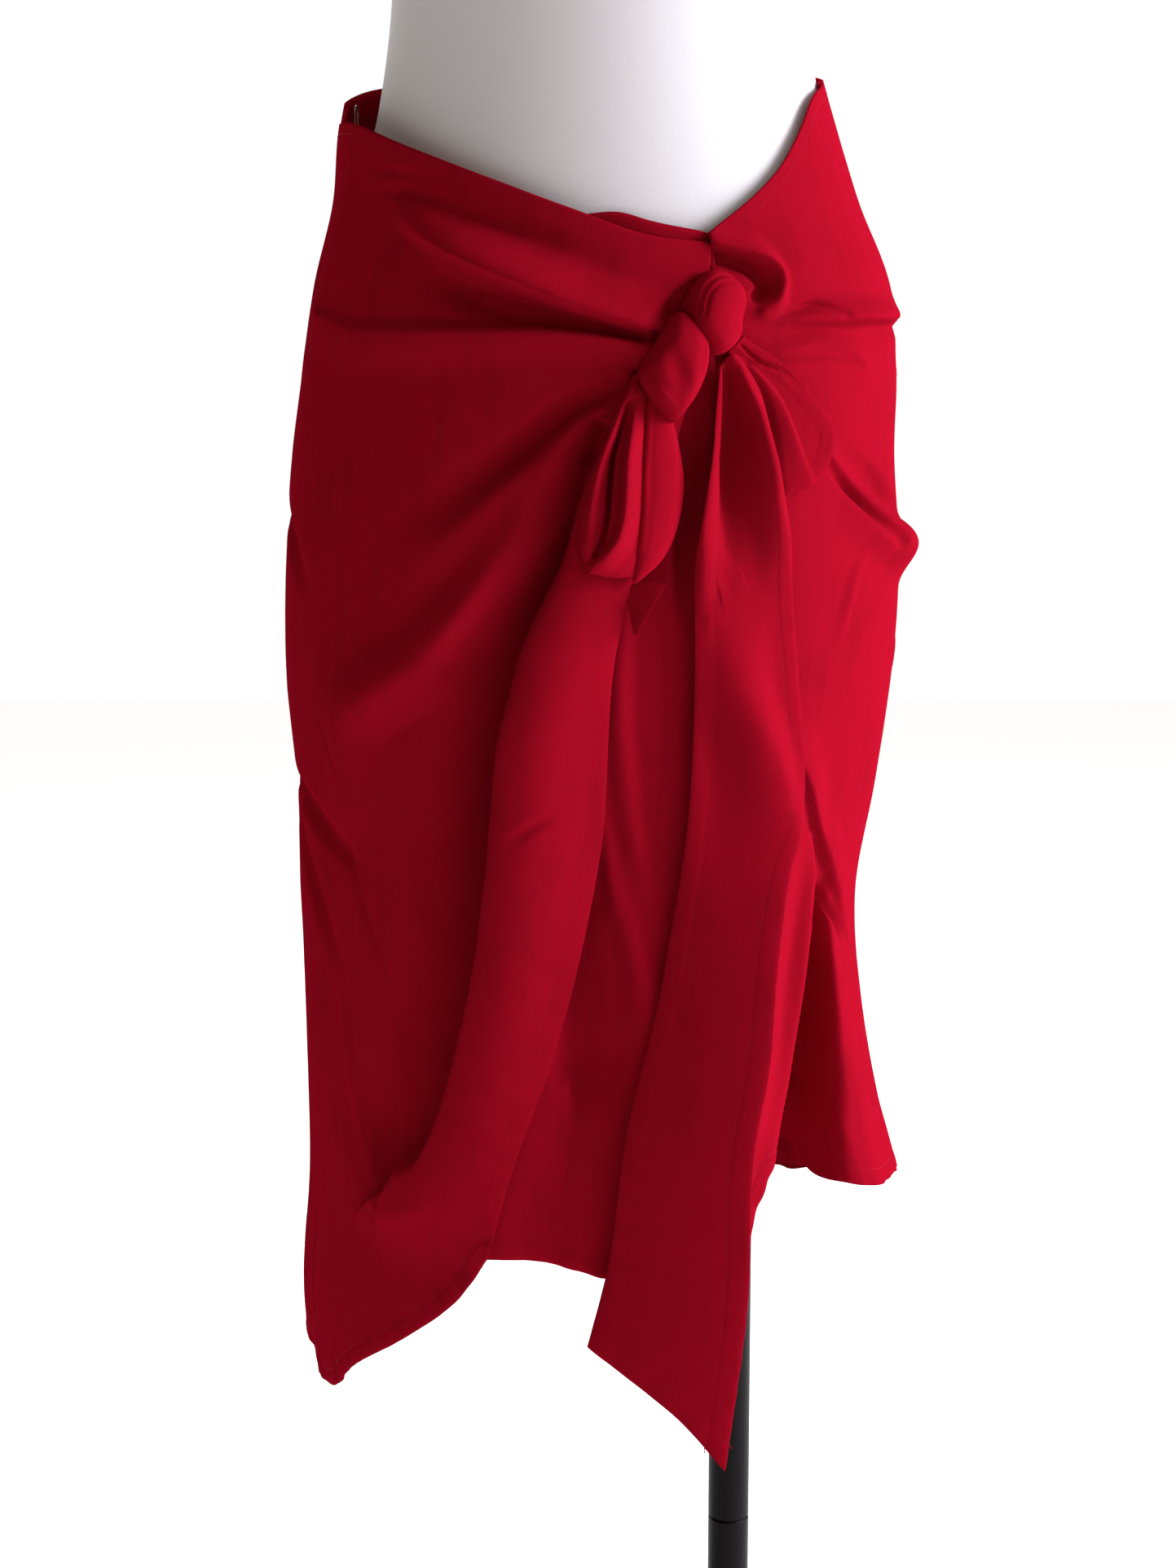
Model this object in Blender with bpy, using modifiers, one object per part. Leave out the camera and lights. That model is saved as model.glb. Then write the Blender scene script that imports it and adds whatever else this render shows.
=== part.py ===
"""A wrap-front tie skirt on a limbless dress form with a pole and a round base.

The skirt is four cut panels and a tie knotted at the front, each a thin wall of cloth. Places on the cloth are
given the way a cutter measures them: `around` is millimetres round the skirt from the front centre line, to the
wearer's left where it is positive, `up` is millimetres above the floor, and `out` is millimetres outward from the
skirt's own surface, its skin. The skin is worked out from one table of sections, and each fold is one row of a
table: the path of its crest, its half widths on either side and its height along the path.
"""

import math

import bmesh
import bpy
import numpy as np

MM = 0.001

# ---------------------------------------------------------------------------------------------------------------
# Driving dimensions, in millimetres
# ---------------------------------------------------------------------------------------------------------------

CLOTH = 1.6  # wall of the folded satin crepe
TIE_CLOTH = 1.4  # the tie is a single layer with narrow hems
SEAM_GAP = 0.6  # between two sewn panels
TOUCH_GAP = 0.3  # between hard pieces that touch
ROUND_RADIUS = 158.0  # a turn of one radian is this much `around`
BACK_CENTRE = math.pi * ROUND_RADIUS
WHOLE_TURN = 2 * BACK_CENTRE

POLE_X = 76.5  # the pole stands off the form's middle
POLE_RADIUS = 12.0
POLE_JOINT_UP = 197.0  # where its two sections meet
SOCKET_RADIUS = 17.0
SOCKET_DEPTH = 34.0
SOCKET_FLANGE_RADIUS = 32.0
SOCKET_FLANGE_THICK = 5.0
BASE_RADIUS = 190.0
BASE_THICK = 6.0
BASE_BEVEL = 1.5
COLLAR_RADIUS = 21.0
COLLAR_HEIGHT = 26.0
COLLAR_FLOOR = 2.0
EDGE_ROUND = 0.8  # on the ends of the pole's sections
TURNED_SIDES = 32
FORM_BOTTOM = 744.0
NECK_TOP = 1502.0
CAP_RADIUS = 55.0
CAP_THICK = 9.0
HOOK_PLACE = (718.0, 1011.0)  # around, up
HOOK_WIRE = 0.45
HOOK_HALF_WIDTH = 3.2
HOOK_LEG = 7.0
HOOK_CLEARANCE = 1.4  # the back's wall is flat between its grid lines, so the hook lies this far inside it

PANEL_ROWS = 24  # grid rows from hem to waist, the same on panels that meet at a seam
CROWDED_ROWS = (0.70, 0.15, 1.6)  # share of the height, spread and strength: rows crowd where the tucks are

# The skin of the skirt: half sizes at each height.
SKIRT_SECTIONS = {
    #           up    left  right front back
    "hem": (280, 164, 178, 155, 146),
    "flute": (340, 169, 176, 152, 144),
    "flare": (410, 166, 170, 148, 141),
    "calf": (460, 167, 160, 145, 138),
    "below_knee": (520, 169, 149, 141, 135),
    "knee": (580, 171, 146, 138, 133),
    "above_knee": (640, 172, 155, 136, 131),
    "low_thigh": (700, 177, 163, 134, 131),
    "thigh": (740, 177, 166, 132, 132),
    "high_thigh": (780, 175, 166, 130, 134),
    "seat": (820, 172, 163, 126, 136),
    "hip": (870, 165, 163, 120, 135),
    "high_hip": (915, 158, 159, 112, 129),
    "belly": (960, 147, 141, 104, 117),
    "waist": (1000, 143, 128, 96, 105),
    "above": (1040, 134, 116, 92, 99),
}

# The form: half sizes at each height, with the rings of its flat underside and its neck.
FORM_SECTIONS = {
    #                up    left  right front back
    "under_middle": (744, 60, 60, 40, 44),
    "under_edge": (744, 122, 122, 78, 86),
    "under_round": (751, 138, 138, 89, 99),
    "thigh": (780, 152, 151, 98, 113),
    "seat": (825, 160, 158.5, 104, 123),
    "hip": (870, 163, 161, 107, 126),
    "high_hip": (915, 152, 151, 103, 120),
    "belly": (960, 135, 134, 97, 108),
    "low_waist": (1010, 121, 119, 89, 96),
    "waist": (1075, 113, 112, 84, 88),
    "ribs": (1130, 117, 117, 90, 93),
    "under_bust": (1180, 126, 126, 101, 100),
    "bust": (1235, 137, 137, 118, 106),
    "chest": (1290, 146, 146, 107, 110),
    "armhole": (1340, 155, 155, 89, 107),
    "shoulder": (1380, 156, 156, 71, 93),
    "shoulder_end": (1402, 138, 138, 60, 80),
    "shoulder_mid": (1420, 104, 104, 53, 68),
    "neck_base": (1438, 68, 68, 50, 58),
    "neck": (1462, 55, 55, 50, 54),
    "neck_edge": (1501, 53, 53, 50, 52),
    "neck_inner": (1502, 46, 46, 44, 45),
}

# The seams and edges of the panels, as points (around, up) from the hem to the waist or from left to right.
LEFT_SEAM = ((-205, 300), (-232, 560), (-246, 800), (-248, 1001))
RIGHT_SEAM = ((225, 417), (226, 620), (224, 850), (222, 1022))
FRONT_SEAM = ((60, 403), (60, 600), (59, 800), (56, 936))
OVER_HEM = ((-205, 300), (-176, 306), (-151, 325), (-102, 357), (-74, 381), (-56, 408))
OVER_WAIST = ((-248, 1001), (-192, 999), (-119, 982), (-63, 964), (-17, 948), (26, 934), (53, 929))
OVER_TULIP_EDGE = ((-56, 408), (-43, 454), (-23, 515), (-1, 621), (8, 735), (25, 800), (44, 860), (53, 929))
UNDER_HEM = ((-82, 404), (-30, 405), (2, 397), (60, 403))
UNDER_WAIST = ((-60, 950), (-17, 945), (11, 946), (26, 942), (56, 936))
UNDER_FREE_EDGE = ((-82, 404), (-80, 600), (-72, 800), (-60, 950))
RIGHT_HEM = ((60, 403), (84, 430), (106, 443), (134, 437), (185, 424), (225, 417))
RIGHT_WAIST = ((56, 936), (74, 946), (116, 971), (144, 991), (174, 1010), (222, 1022))
BACK_HEM = ((225, 417), (330, 392), (430, 366), (530, 344), (640, 318), (788, 300))
BACK_WAIST = ((222, 1022), (300, 1032), (400, 1036), (560, 1036), (680, 1026), (745, 1012))

# The long tail of the tie, its edges from the top to the slanted end.
TAIL_TOP = ((46, 866), (56, 873), (66, 868))
TAIL_LEFT_EDGE = ((46, 866), (41, 792), (43, 740), (45, 697), (42, 622), (33, 559), (12, 476), (2, 403), (-7, 364))
TAIL_RIGHT_EDGE = ((66, 868), (82, 824), (90, 755), (103, 700), (105, 656), (93, 563), (76, 470), (64, 400), (51, 301))
TAIL_END = ((-7, 364), (11, 350), (31, 331), (51, 301))

# The short end of the tie, a fan.
SHORT_TOP = ((62, 876), (64, 880), (67, 884))
SHORT_LEFT_EDGE = ((62, 876), (71, 845), (77, 820), (84, 796))
SHORT_RIGHT_EDGE = ((67, 884), (86, 875), (104, 862), (124, 841))
SHORT_END = ((84, 796), (106, 804), (120, 820), (124, 841))

# Folds: name, crest as points (around, up), half widths left and right of the way it runs, heights at its
# start, middle and end. A height below zero is a trough.
SKIN_FOLDS = (
    # shared by all the panels, mostly the flutes of the lower part
    ("flute_under_tail", ((44, 700), (42, 560), (38, 397)), (34, 34), (0, 8, 14)),
    ("deep_flute", ((106, 660), (108, 540), (106, 400)), (26, 24), (0, -18, -34)),
    ("right_flute", ((150, 640), (160, 520), (166, 400)), (30, 34), (0, 4, 8)),
    ("side_trough", ((272, 690), (274, 540), (274, 390)), (26, 26), (0, -7, -13)),
    ("back_flute_1", ((312, 720), (312, 560), (314, 380)), (28, 28), (0, 6, 14)),
    ("back_trough_1", ((358, 760), (357, 560), (360, 370)), (26, 28), (0, -7, -15)),
    ("back_flute_2", ((402, 700), (403, 540), (405, 350)), (30, 30), (0, 5, 12)),
    ("back_trough_2", ((458, 780), (456, 560), (458, 340)), (30, 30), (0, -8, -16)),
    ("back_flute_3", ((512, 720), (512, 540), (515, 330)), (30, 30), (0, 6, 14)),
    ("back_trough_3", ((566, 690), (568, 520), (570, 310)), (28, 28), (0, -6, -14)),
    ("back_flute_4", ((620, 740), (620, 560), (624, 300)), (28, 28), (0, 5, 11)),
    ("back_trough_4", ((676, 760), (676, 540), (680, 290)), (30, 30), (0, -6, -13)),
    ("back_flute_5", ((734, 640), (732, 500), (730, 280)), (28, 28), (0, 3, 8)),
    ("right_notch", ((112, 828), (156, 812), (196, 796), (222, 790)), (12, 12), (-6, -9, -2)),
    ("right_bump", ((136, 800), (186, 782), (226, 774), (270, 772)), (22, 24), (0, 13, 0)),
    ("hip_tuck", ((78, 890), (124, 892), (192, 895), (240, 897)), (8, 8), (-3, -7, -3)),
    ("hip_tuck_lip", ((84, 903), (150, 906), (200, 910), (246, 912)), (11, 9), (0, 5, 0)),
    ("soft_tuck", ((84, 878), (122, 878), (158, 873)), (8, 8), (-4, -4, 0)),
    ("right_drape", ((112, 672), (134, 632), (161, 594), (198, 556)), (30, 17), (0, 12, 5)),
    ("right_drape_shade", ((106, 640), (128, 598), (154, 566), (184, 535)), (14, 22), (0, -12, -3)),
    ("left_notch", ((-246, 646), (-190, 632), (-152, 616), (-120, 600)), (11, 11), (-6, -6, 0)),
    ("left_crease", ((-252, 800), (-212, 778), (-170, 752)), (12, 12), (-3, -5, 0)),
    ("left_low_crease", ((-226, 626), (-190, 592), (-150, 545)), (12, 12), (-3, -5, 0)),
    ("back_seat_drape", ((300, 905), (420, 868), (560, 866), (690, 905)), (22, 16), (0, 5, 0)),
    ("back_seat_trough", ((330, 862), (430, 834), (550, 832), (660, 862)), (16, 18), (0, -4, 0)),
)
OVER_FOLDS = (
    ("waist_trough", ((12, 925), (-60, 938), (-148, 957)), (11, 12), (-1, -4, -2)),
    ("waist_drape", ((24, 896), (-36, 916), (-110, 932), (-168, 956)), (20, 17), (8, 14, 2)),
    ("drape_trough", ((22, 884), (-15, 896), (-56, 902), (-120, 904)), (9, 10), (-3, -4, 0)),
    ("hip_drape", ((20, 876), (-15, 882), (-110, 885), (-190, 895)), (12, 24), (9, 11, 4)),
    ("hip_trough", ((20, 866), (-15, 850), (-33, 834), (-80, 796)), (12, 14), (-3, -5, 0)),
    ("thigh_drape", ((2, 850), (-33, 811), (-67, 758), (-116, 680), (-130, 640)), (24, 24), (7, 15, 0)),
    ("pleat_shade", ((0, 840), (-30, 766), (-58, 690), (-76, 600), (-98, 490), (-118, 450)), (18, 22), (-2, -9, -3)),
    ("pleat", ((8, 820), (-10, 758), (-23, 683), (-38, 577), (-53, 508), (-86, 440)), (36, 15), (8, 20, 4)),
    ("low_crease", ((-182, 500), (-156, 460), (-126, 415)), (12, 12), (0, -4, 0)),
)
TAIL_FOLDS = (
    ("left_ridge", ((52, 868), (50, 820), (48, 760), (60, 700)), (9, 9), (4, 11, 0)),
    ("trough", ((57, 868), (62, 824), (68, 787), (77, 764)), (7, 7), (-3, -7, 0)),
    ("right_ridge", ((63, 866), (74, 826), (84, 766), (88, 700)), (9, 9), (4, 8, 2)),
    ("middle_ridge", ((82, 700), (90, 656), (70, 540), (52, 440), (40, 360)), (24, 14), (3, 12, 4)),
)
SHORT_FOLDS = (
    ("fan_trough", ((72, 872), (92, 836), (103, 816)), (7, 7), (-1, -3.2, -2)),
    ("fan_ridge", ((76, 876), (92, 862), (114, 832)), (7, 9), (3, 8, 5)),
)

# The pieces of the knot and the loop, each a strip of cloth along its middle line: place, how far it stands out,
# half its width, how much it bulges across, and how deep the slot along its middle is.
SLOT_EDGE = 0.75
KNOT_UPPER_STRIP = (
    # around up  out half_width crown slot
    (61, 921, 5.4, 9, 2, 0),
    (62, 913, 8.4, 15, 12, 0),
    (63, 897, 10.4, 16.5, 17, 0),
    (64, 882, 11.4, 14.5, 15, 0),
    (65, 873, 15.4, 8, 4, 0),
)
KNOT_LOWER_STRIP = (
    (42, 893, 7.4, 5, 2, 0),
    (38.5, 881, 11.4, 12, 14, 0),
    (36.5, 865, 17.4, 15.5, 16, 0),
    (34, 849, 19.4, 12.5, 13, 0),
    (33, 840, 20.4, 6, 4, 0),
)
LOOP_STRIP = (
    (24, 848, 8.4, 4, 1, 0),
    (26, 834, 11.4, 7, 5, 0),
    (27, 818, 13.4, 10, 9, 0),
    (27.5, 804, 14.4, 10.5, 10, 0),
    (26, 788, 15.4, 9.5, 8, 0),
    (23, 772, 16.4, 7, 4, 0),
    (20, 763, 16.4, 5, 1, 0),
)
LOOP_OUTER_STRIP = (
    (15, 862, 10.2, 4, 1, 0),
    (10, 848, 12.2, 6, 3, 1),
    (5, 832, 15.5, 8, 5, 4),
    (0, 808, 18.5, 10.5, 7, 8),
    (-2, 788, 20.5, 12, 7, 8),
    (0, 773, 21.7, 11, 5, 3),
    (3, 765, 20.7, 9, 1, 0),
)
TIP_STRIP = (
    (22, 762, 14.1, 11, 1, 0),
    (19, 752, 14.1, 7, 1, 0),
    (15, 737, 14.1, 1.5, 0, 0),
)

# How far the layers lie from the skin: at the waist, and lower down where they hang free. Each change is eased
# in between two places.
HANGS_FREE = (760.0, 930.0)  # up: fully free below the first, held at the waist above the second
OVER_RISES = (-170.0, -95.0)  # around: from the side seam to where it lies on the layer under it
UNDER_DIVES = (-10.0, 56.0)  # around: from under the over-panel to the front seam
OVER_LIFT_WAIST = 2.6
OVER_LIFT_LOW = 7.0
UNDER_DROP_WAIST = 5.0
UNDER_DROP_LOW = 6.0
TAIL_LIFT = 7.3
SHORT_LIFT = 4.4

# name: (hex colour, roughness, metallic)
FINISHES = {
    "satin_crepe": ("8A0A1C", 0.55, 0.0),
    "form_cover": ("D9D7D4", 0.75, 0.0),
    "neck_cap": ("C9C6C2", 0.5, 0.0),
    "pole_black": ("1C1B1B", 0.35, 0.6),
    "base_black": ("202020", 0.5, 0.4),
    "hook_metal": ("C8B98A", 0.3, 1.0),
}


# ---------------------------------------------------------------------------------------------------------------
# Curves, sections and folds
# ---------------------------------------------------------------------------------------------------------------


def smooth(knots, values, at):
    """Reads a smooth curve through the values at the knots (Catmull-Rom), level past its ends."""
    knots, values = np.asarray(knots, float), np.asarray(values, float)
    slopes = np.gradient(values, knots)
    at = np.clip(at, knots[0], knots[-1])
    left = np.clip(np.searchsorted(knots, at, side="right") - 1, 0, len(knots) - 2)
    width = knots[left + 1] - knots[left]
    t = (at - knots[left]) / width
    rise = values[left] * (1 + 2 * t) * (1 - t) ** 2 + values[left + 1] * t * t * (3 - 2 * t)
    return rise + width * (slopes[left] * t * (1 - t) ** 2 - slopes[left + 1] * t * t * (1 - t))


def curve_through(points, share):
    """Points on a smooth curve through `points`, at shares 0 to 1 of its length."""
    points = np.asarray(points, float)
    steps = np.hypot(*np.diff(points[:, :2], axis=0).T)
    knots = np.concatenate([[0], np.cumsum(steps)]) / steps.sum()
    return np.stack([smooth(knots, column, share) for column in points.T], axis=-1)


def half_sizes(sections, up):
    """Left, right, front and back half sizes of a section table at the heights `up`."""
    rows = np.array(list(sections.values()), float)
    return [smooth(rows[:, 0], rows[:, side], up) for side in (1, 2, 3, 4)]


def on_ellipse(sizes, turn, out):
    """Across and depth of a point at an angle from the front, on the ellipse quarter that it falls in."""
    left, right, front, back = sizes
    across = np.where(np.sin(turn) < 0, left, right) + out
    depth = np.where(np.cos(turn) > 0, front, back) + out
    return across * np.sin(turn), -depth * np.cos(turn)


def fold_heights(around, up, folds):
    """What the folds add to `out`: each has a rounded crest along its path, fading to its sides."""
    total = np.zeros_like(around, dtype=float)
    for _, path, half_widths, heights in folds:
        line = curve_through(path, np.linspace(0, 1, 25))
        start, step = line[:-1], np.diff(line, axis=0)
        away = np.stack([around, up], axis=-1)[:, None, :] - start
        along = np.clip((away * step).sum(-1) / (step * step).sum(-1), 0, 1)
        miss = away - along[..., None] * step
        nearest = np.argmin((miss * miss).sum(-1), axis=1)
        row = np.arange(len(around))
        miss, along = miss[row, nearest], (nearest + along[row, nearest]) / len(step)
        is_left = step[nearest, 0] * miss[:, 1] - step[nearest, 1] * miss[:, 0] > 0
        half_width = np.where(is_left, half_widths[0], half_widths[1])
        reach = np.clip(np.hypot(*miss.T) / half_width, 0, 1)
        crest = smooth((0, 0.5, 1), heights, along)
        total += crest * 0.5 * (1 + np.cos(math.pi * reach))
    return total


def skin(around, up, out):
    """Points of the skirt's skin with its shared folds, moved outward by `out`."""
    for turns in (-1, 0, 1):
        out = out + fold_heights(around + turns * WHOLE_TURN, up, SKIN_FOLDS)
    across, depth = on_ellipse(half_sizes(SKIRT_SECTIONS, up), around / ROUND_RADIUS, out)
    return np.stack([across, depth, up], axis=-1)


def ease(low, high, value):
    """0 below `low`, 1 above `high`, and smooth between them."""
    t = np.clip((value - low) / (high - low), 0, 1)
    return t * t * (3 - 2 * t)


# ---------------------------------------------------------------------------------------------------------------
# Objects
# ---------------------------------------------------------------------------------------------------------------


def clear_scene():
    for old in list(bpy.data.objects):
        bpy.data.objects.remove(old, do_unlink=True)


def hex_colour(text):
    """Linear RGB from an sRGB hex value."""
    parts = [int(text[i : i + 2], 16) / 255 for i in (0, 2, 4)]
    return [part / 12.92 if part <= 0.04045 else ((part + 0.055) / 1.055) ** 2.4 for part in parts]


def make_finishes():
    for name, (colour, roughness, metallic) in FINISHES.items():
        material = bpy.data.materials.new(name)
        material.use_nodes = True
        shader = material.node_tree.nodes["Principled BSDF"]
        shader.inputs["Base Color"].default_value = (*hex_colour(colour), 1)
        shader.inputs["Roughness"].default_value = roughness
        shader.inputs["Metallic"].default_value = metallic


def add_object(name, data, finish):
    """A new object in the part's collection, with its finish."""
    piece = bpy.data.objects.new(name, data)
    bpy.data.collections["wrap_tie_skirt"].objects.link(piece)
    data.materials.append(bpy.data.materials[finish])
    return piece


def mesh_object(name, bm, finish):
    mesh = bpy.data.meshes.new(name)
    bm.to_mesh(mesh)
    bm.free()
    mesh.shade_smooth()
    return add_object(name, mesh, finish)


def cloth_piece(name, columns, rows, place, wall, outer_offset=-1.0):
    """A wall of cloth: a grid over the unit square, each point set by `place`, then given its thickness."""
    bm = bmesh.new()
    bmesh.ops.create_grid(bm, x_segments=columns, y_segments=rows, size=0.5)
    square = np.array([corner.co[:2] for corner in bm.verts]) + 0.5
    for corner, point in zip(bm.verts, place(square[:, 0], square[:, 1])):
        corner.co = point * MM
    piece = mesh_object(name, bm, "satin_crepe")
    solidify = piece.modifiers.new("cloth_wall", "SOLIDIFY")
    solidify.thickness = wall * MM
    solidify.offset = outer_offset
    return piece


def inside_edges(u, v, bottom, top, left, right):
    """(around, up) at the shares u and v of a panel with four curved edges, as a Coons patch."""
    bottom_points, top_points = curve_through(bottom, u), curve_through(top, u)
    left_points, right_points = curve_through(left, v), curve_through(right, v)
    u, v = u[:, None], v[:, None]
    corners = [np.asarray(edge[end], float) for edge, end in ((bottom, 0), (bottom, -1), (top, 0), (top, -1))]
    ruled = (1 - v) * bottom_points + v * top_points + (1 - u) * left_points + u * right_points
    low, high = (1 - u) * corners[0] + u * corners[1], (1 - u) * corners[2] + u * corners[3]
    spot = ruled - (1 - v) * low - v * high
    return spot[:, 0], spot[:, 1]


def crowded(share):
    """Shares 0 to 1 of a panel's height, closer together where its tucks are."""
    middle, spread, strength = CROWDED_ROWS
    even = np.linspace(0, 1, 401)
    density = 1 + strength * np.exp(-(((even - middle) / spread) ** 2))
    reached = np.concatenate([[0], np.cumsum((density[1:] + density[:-1]) / 2)])
    return np.interp(share, reached / reached[-1], even)


def moved(edge, sideways):
    """An edge's points shifted round the skirt, which leaves the gap at a seam."""
    return [(around + sideways, up) for around, up in edge]


# ---------------------------------------------------------------------------------------------------------------
# The four panels
# ---------------------------------------------------------------------------------------------------------------


def layer_low(up):
    """0 at the waist and 1 where the layers hang free of the form."""
    return 1 - ease(*HANGS_FREE, up)


def over_out(around, up):
    """The over-panel rises from the side seam to lie on the layer under it."""
    lift = OVER_LIFT_WAIST + (OVER_LIFT_LOW - OVER_LIFT_WAIST) * layer_low(up)
    return lift * ease(*OVER_RISES, around)


def under_out(around, up):
    """The wrap extension leaves the right front's surface and dives under the over-panel."""
    drop = UNDER_DROP_WAIST + (UNDER_DROP_LOW - UNDER_DROP_WAIST) * layer_low(up)
    return -drop * (1 - ease(*UNDER_DIVES, around))


def place_back(u, v):
    left_seam = [(around + WHOLE_TURN, up) for around, up in LEFT_SEAM[:-1]] + [BACK_WAIST[-1]]
    right_seam = [*RIGHT_SEAM[:-1], BACK_WAIST[0]]
    hem = [*BACK_HEM[:-1], left_seam[0]]
    near, far = moved(right_seam, SEAM_GAP / 2), moved(left_seam, -SEAM_GAP / 2)
    hem[0], hem[-1] = near[0], far[0]
    waist = [near[-1], *BACK_WAIST[1:-1], far[-1]]
    around, up = inside_edges(u, crowded(v), hem, waist, near, far)
    return skin(around, up, 0.0)


def place_over(u, v):
    left_edge = moved(LEFT_SEAM, SEAM_GAP / 2)
    hem, waist = [left_edge[0], *OVER_HEM[1:]], [left_edge[-1], *OVER_WAIST[1:]]
    around, up = inside_edges(u, v, hem, waist, left_edge, OVER_TULIP_EDGE)
    return skin(around, up, over_out(around, up) + fold_heights(around, up, OVER_FOLDS))


def place_under(u, v):
    right_edge = moved(FRONT_SEAM, -SEAM_GAP / 2)
    hem, waist = [*UNDER_HEM[:-1], right_edge[0]], [*UNDER_WAIST[:-1], right_edge[-1]]
    around, up = inside_edges(u, crowded(v), hem, waist, UNDER_FREE_EDGE, right_edge)
    return skin(around, up, under_out(around, up))


def place_right(u, v):
    left_edge, right_edge = moved(FRONT_SEAM, SEAM_GAP / 2), moved(RIGHT_SEAM, -SEAM_GAP / 2)
    hem = [left_edge[0], *RIGHT_HEM[1:-1], right_edge[0]]
    waist = [left_edge[-1], *RIGHT_WAIST[1:-1], right_edge[-1]]
    around, up = inside_edges(u, crowded(v), hem, waist, left_edge, right_edge)
    return skin(around, up, 0.0)


# ---------------------------------------------------------------------------------------------------------------
# The tie
# ---------------------------------------------------------------------------------------------------------------


def place_tail(u, v):
    edges = (TAIL_END, TAIL_TOP, TAIL_LEFT_EDGE[::-1], TAIL_RIGHT_EDGE[::-1])
    around, up = inside_edges(u, v, *edges)
    return skin(around, up, TAIL_LIFT + fold_heights(around, up, TAIL_FOLDS))


def place_short_end(u, v):
    edges = (SHORT_END, SHORT_TOP, SHORT_LEFT_EDGE[::-1], SHORT_RIGHT_EDGE[::-1])
    around, up = inside_edges(u, v, *edges)
    return skin(around, up, SHORT_LIFT + fold_heights(around, up, SHORT_FOLDS))


def strip_placer(strip):
    """Places a grid along a strip's middle line, its rows running down from the first row of the table."""

    def place(u, v):
        spot = curve_through(strip, 1 - v)
        ahead, behind = curve_through(strip, 1 - v + 0.01), curve_through(strip, 1 - v - 0.01)
        run = ahead[:, :2] - behind[:, :2]
        run /= np.hypot(*run.T)[:, None]
        across = (2 * u - 1) * spot[:, 3]
        bulge = np.cos(math.pi / 2 * (2 * u - 1))
        out = spot[:, 2] + spot[:, 4] * bulge - spot[:, 5] * np.maximum(bulge - SLOT_EDGE, 0) / (1 - SLOT_EDGE)
        return skin(spot[:, 0] - run[:, 1] * across, spot[:, 1] + run[:, 0] * across, out)

    return place


def add_tie():
    cloth_piece("tie_long_tail", 7, 22, place_tail, TIE_CLOTH)
    cloth_piece("tie_short_end", 6, 7, place_short_end, TIE_CLOTH)
    cloth_piece("knot_upper", 8, 10, strip_placer(KNOT_UPPER_STRIP), TIE_CLOTH)
    cloth_piece("knot_lower", 8, 10, strip_placer(KNOT_LOWER_STRIP), TIE_CLOTH)
    cloth_piece("tie_loop", 6, 12, strip_placer(LOOP_STRIP), TIE_CLOTH)
    cloth_piece("tie_loop_outer", 8, 12, strip_placer(LOOP_OUTER_STRIP), TIE_CLOTH)
    cloth_piece("tie_tip", 3, 3, strip_placer(TIP_STRIP), TIE_CLOTH)


# ---------------------------------------------------------------------------------------------------------------
# The form and its stand
# ---------------------------------------------------------------------------------------------------------------


def add_form():
    """A sphere's rings moved to the sections, from the flat underside to the top of the neck."""
    rows = np.array(list(FORM_SECTIONS.values()), float)
    bm = bmesh.new()
    bmesh.ops.create_uvsphere(bm, u_segments=TURNED_SIDES, v_segments=len(rows) + 1, radius=1)
    for corner in bm.verts:
        latitude = math.acos(max(-1.0, min(1.0, -corner.co.z))) / math.pi
        ring = round(latitude * (len(rows) + 1)) - 1
        if ring < 0 or ring >= len(rows):
            corner.co = (0, 0, (FORM_BOTTOM if ring < 0 else NECK_TOP) * MM)
            continue
        turn = math.atan2(corner.co.x, -corner.co.y)
        across, depth = on_ellipse(rows[ring, 1:], turn, 0.0)
        corner.co = (across * MM, depth * MM, rows[ring, 0] * MM)
    return mesh_object("form_torso", bm, "form_cover")


def turned(name, profile, finish, across=0.0):
    """A turned piece: a profile of (radius, up) down its outer side, spun about an upright axis."""
    bm = bmesh.new()
    corners = [bm.verts.new((radius * MM, 0, up * MM)) for radius, up in profile]
    for start, end in zip(corners, corners[1:]):
        bm.edges.new((start, end))
    piece = mesh_object(name, bm, finish)
    screw = piece.modifiers.new("turn", "SCREW")
    screw.steps = screw.render_steps = TURNED_SIDES
    screw.use_merge_vertices = True
    screw.merge_threshold = 0.0001
    piece.location.x = across * MM
    return piece


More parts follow.
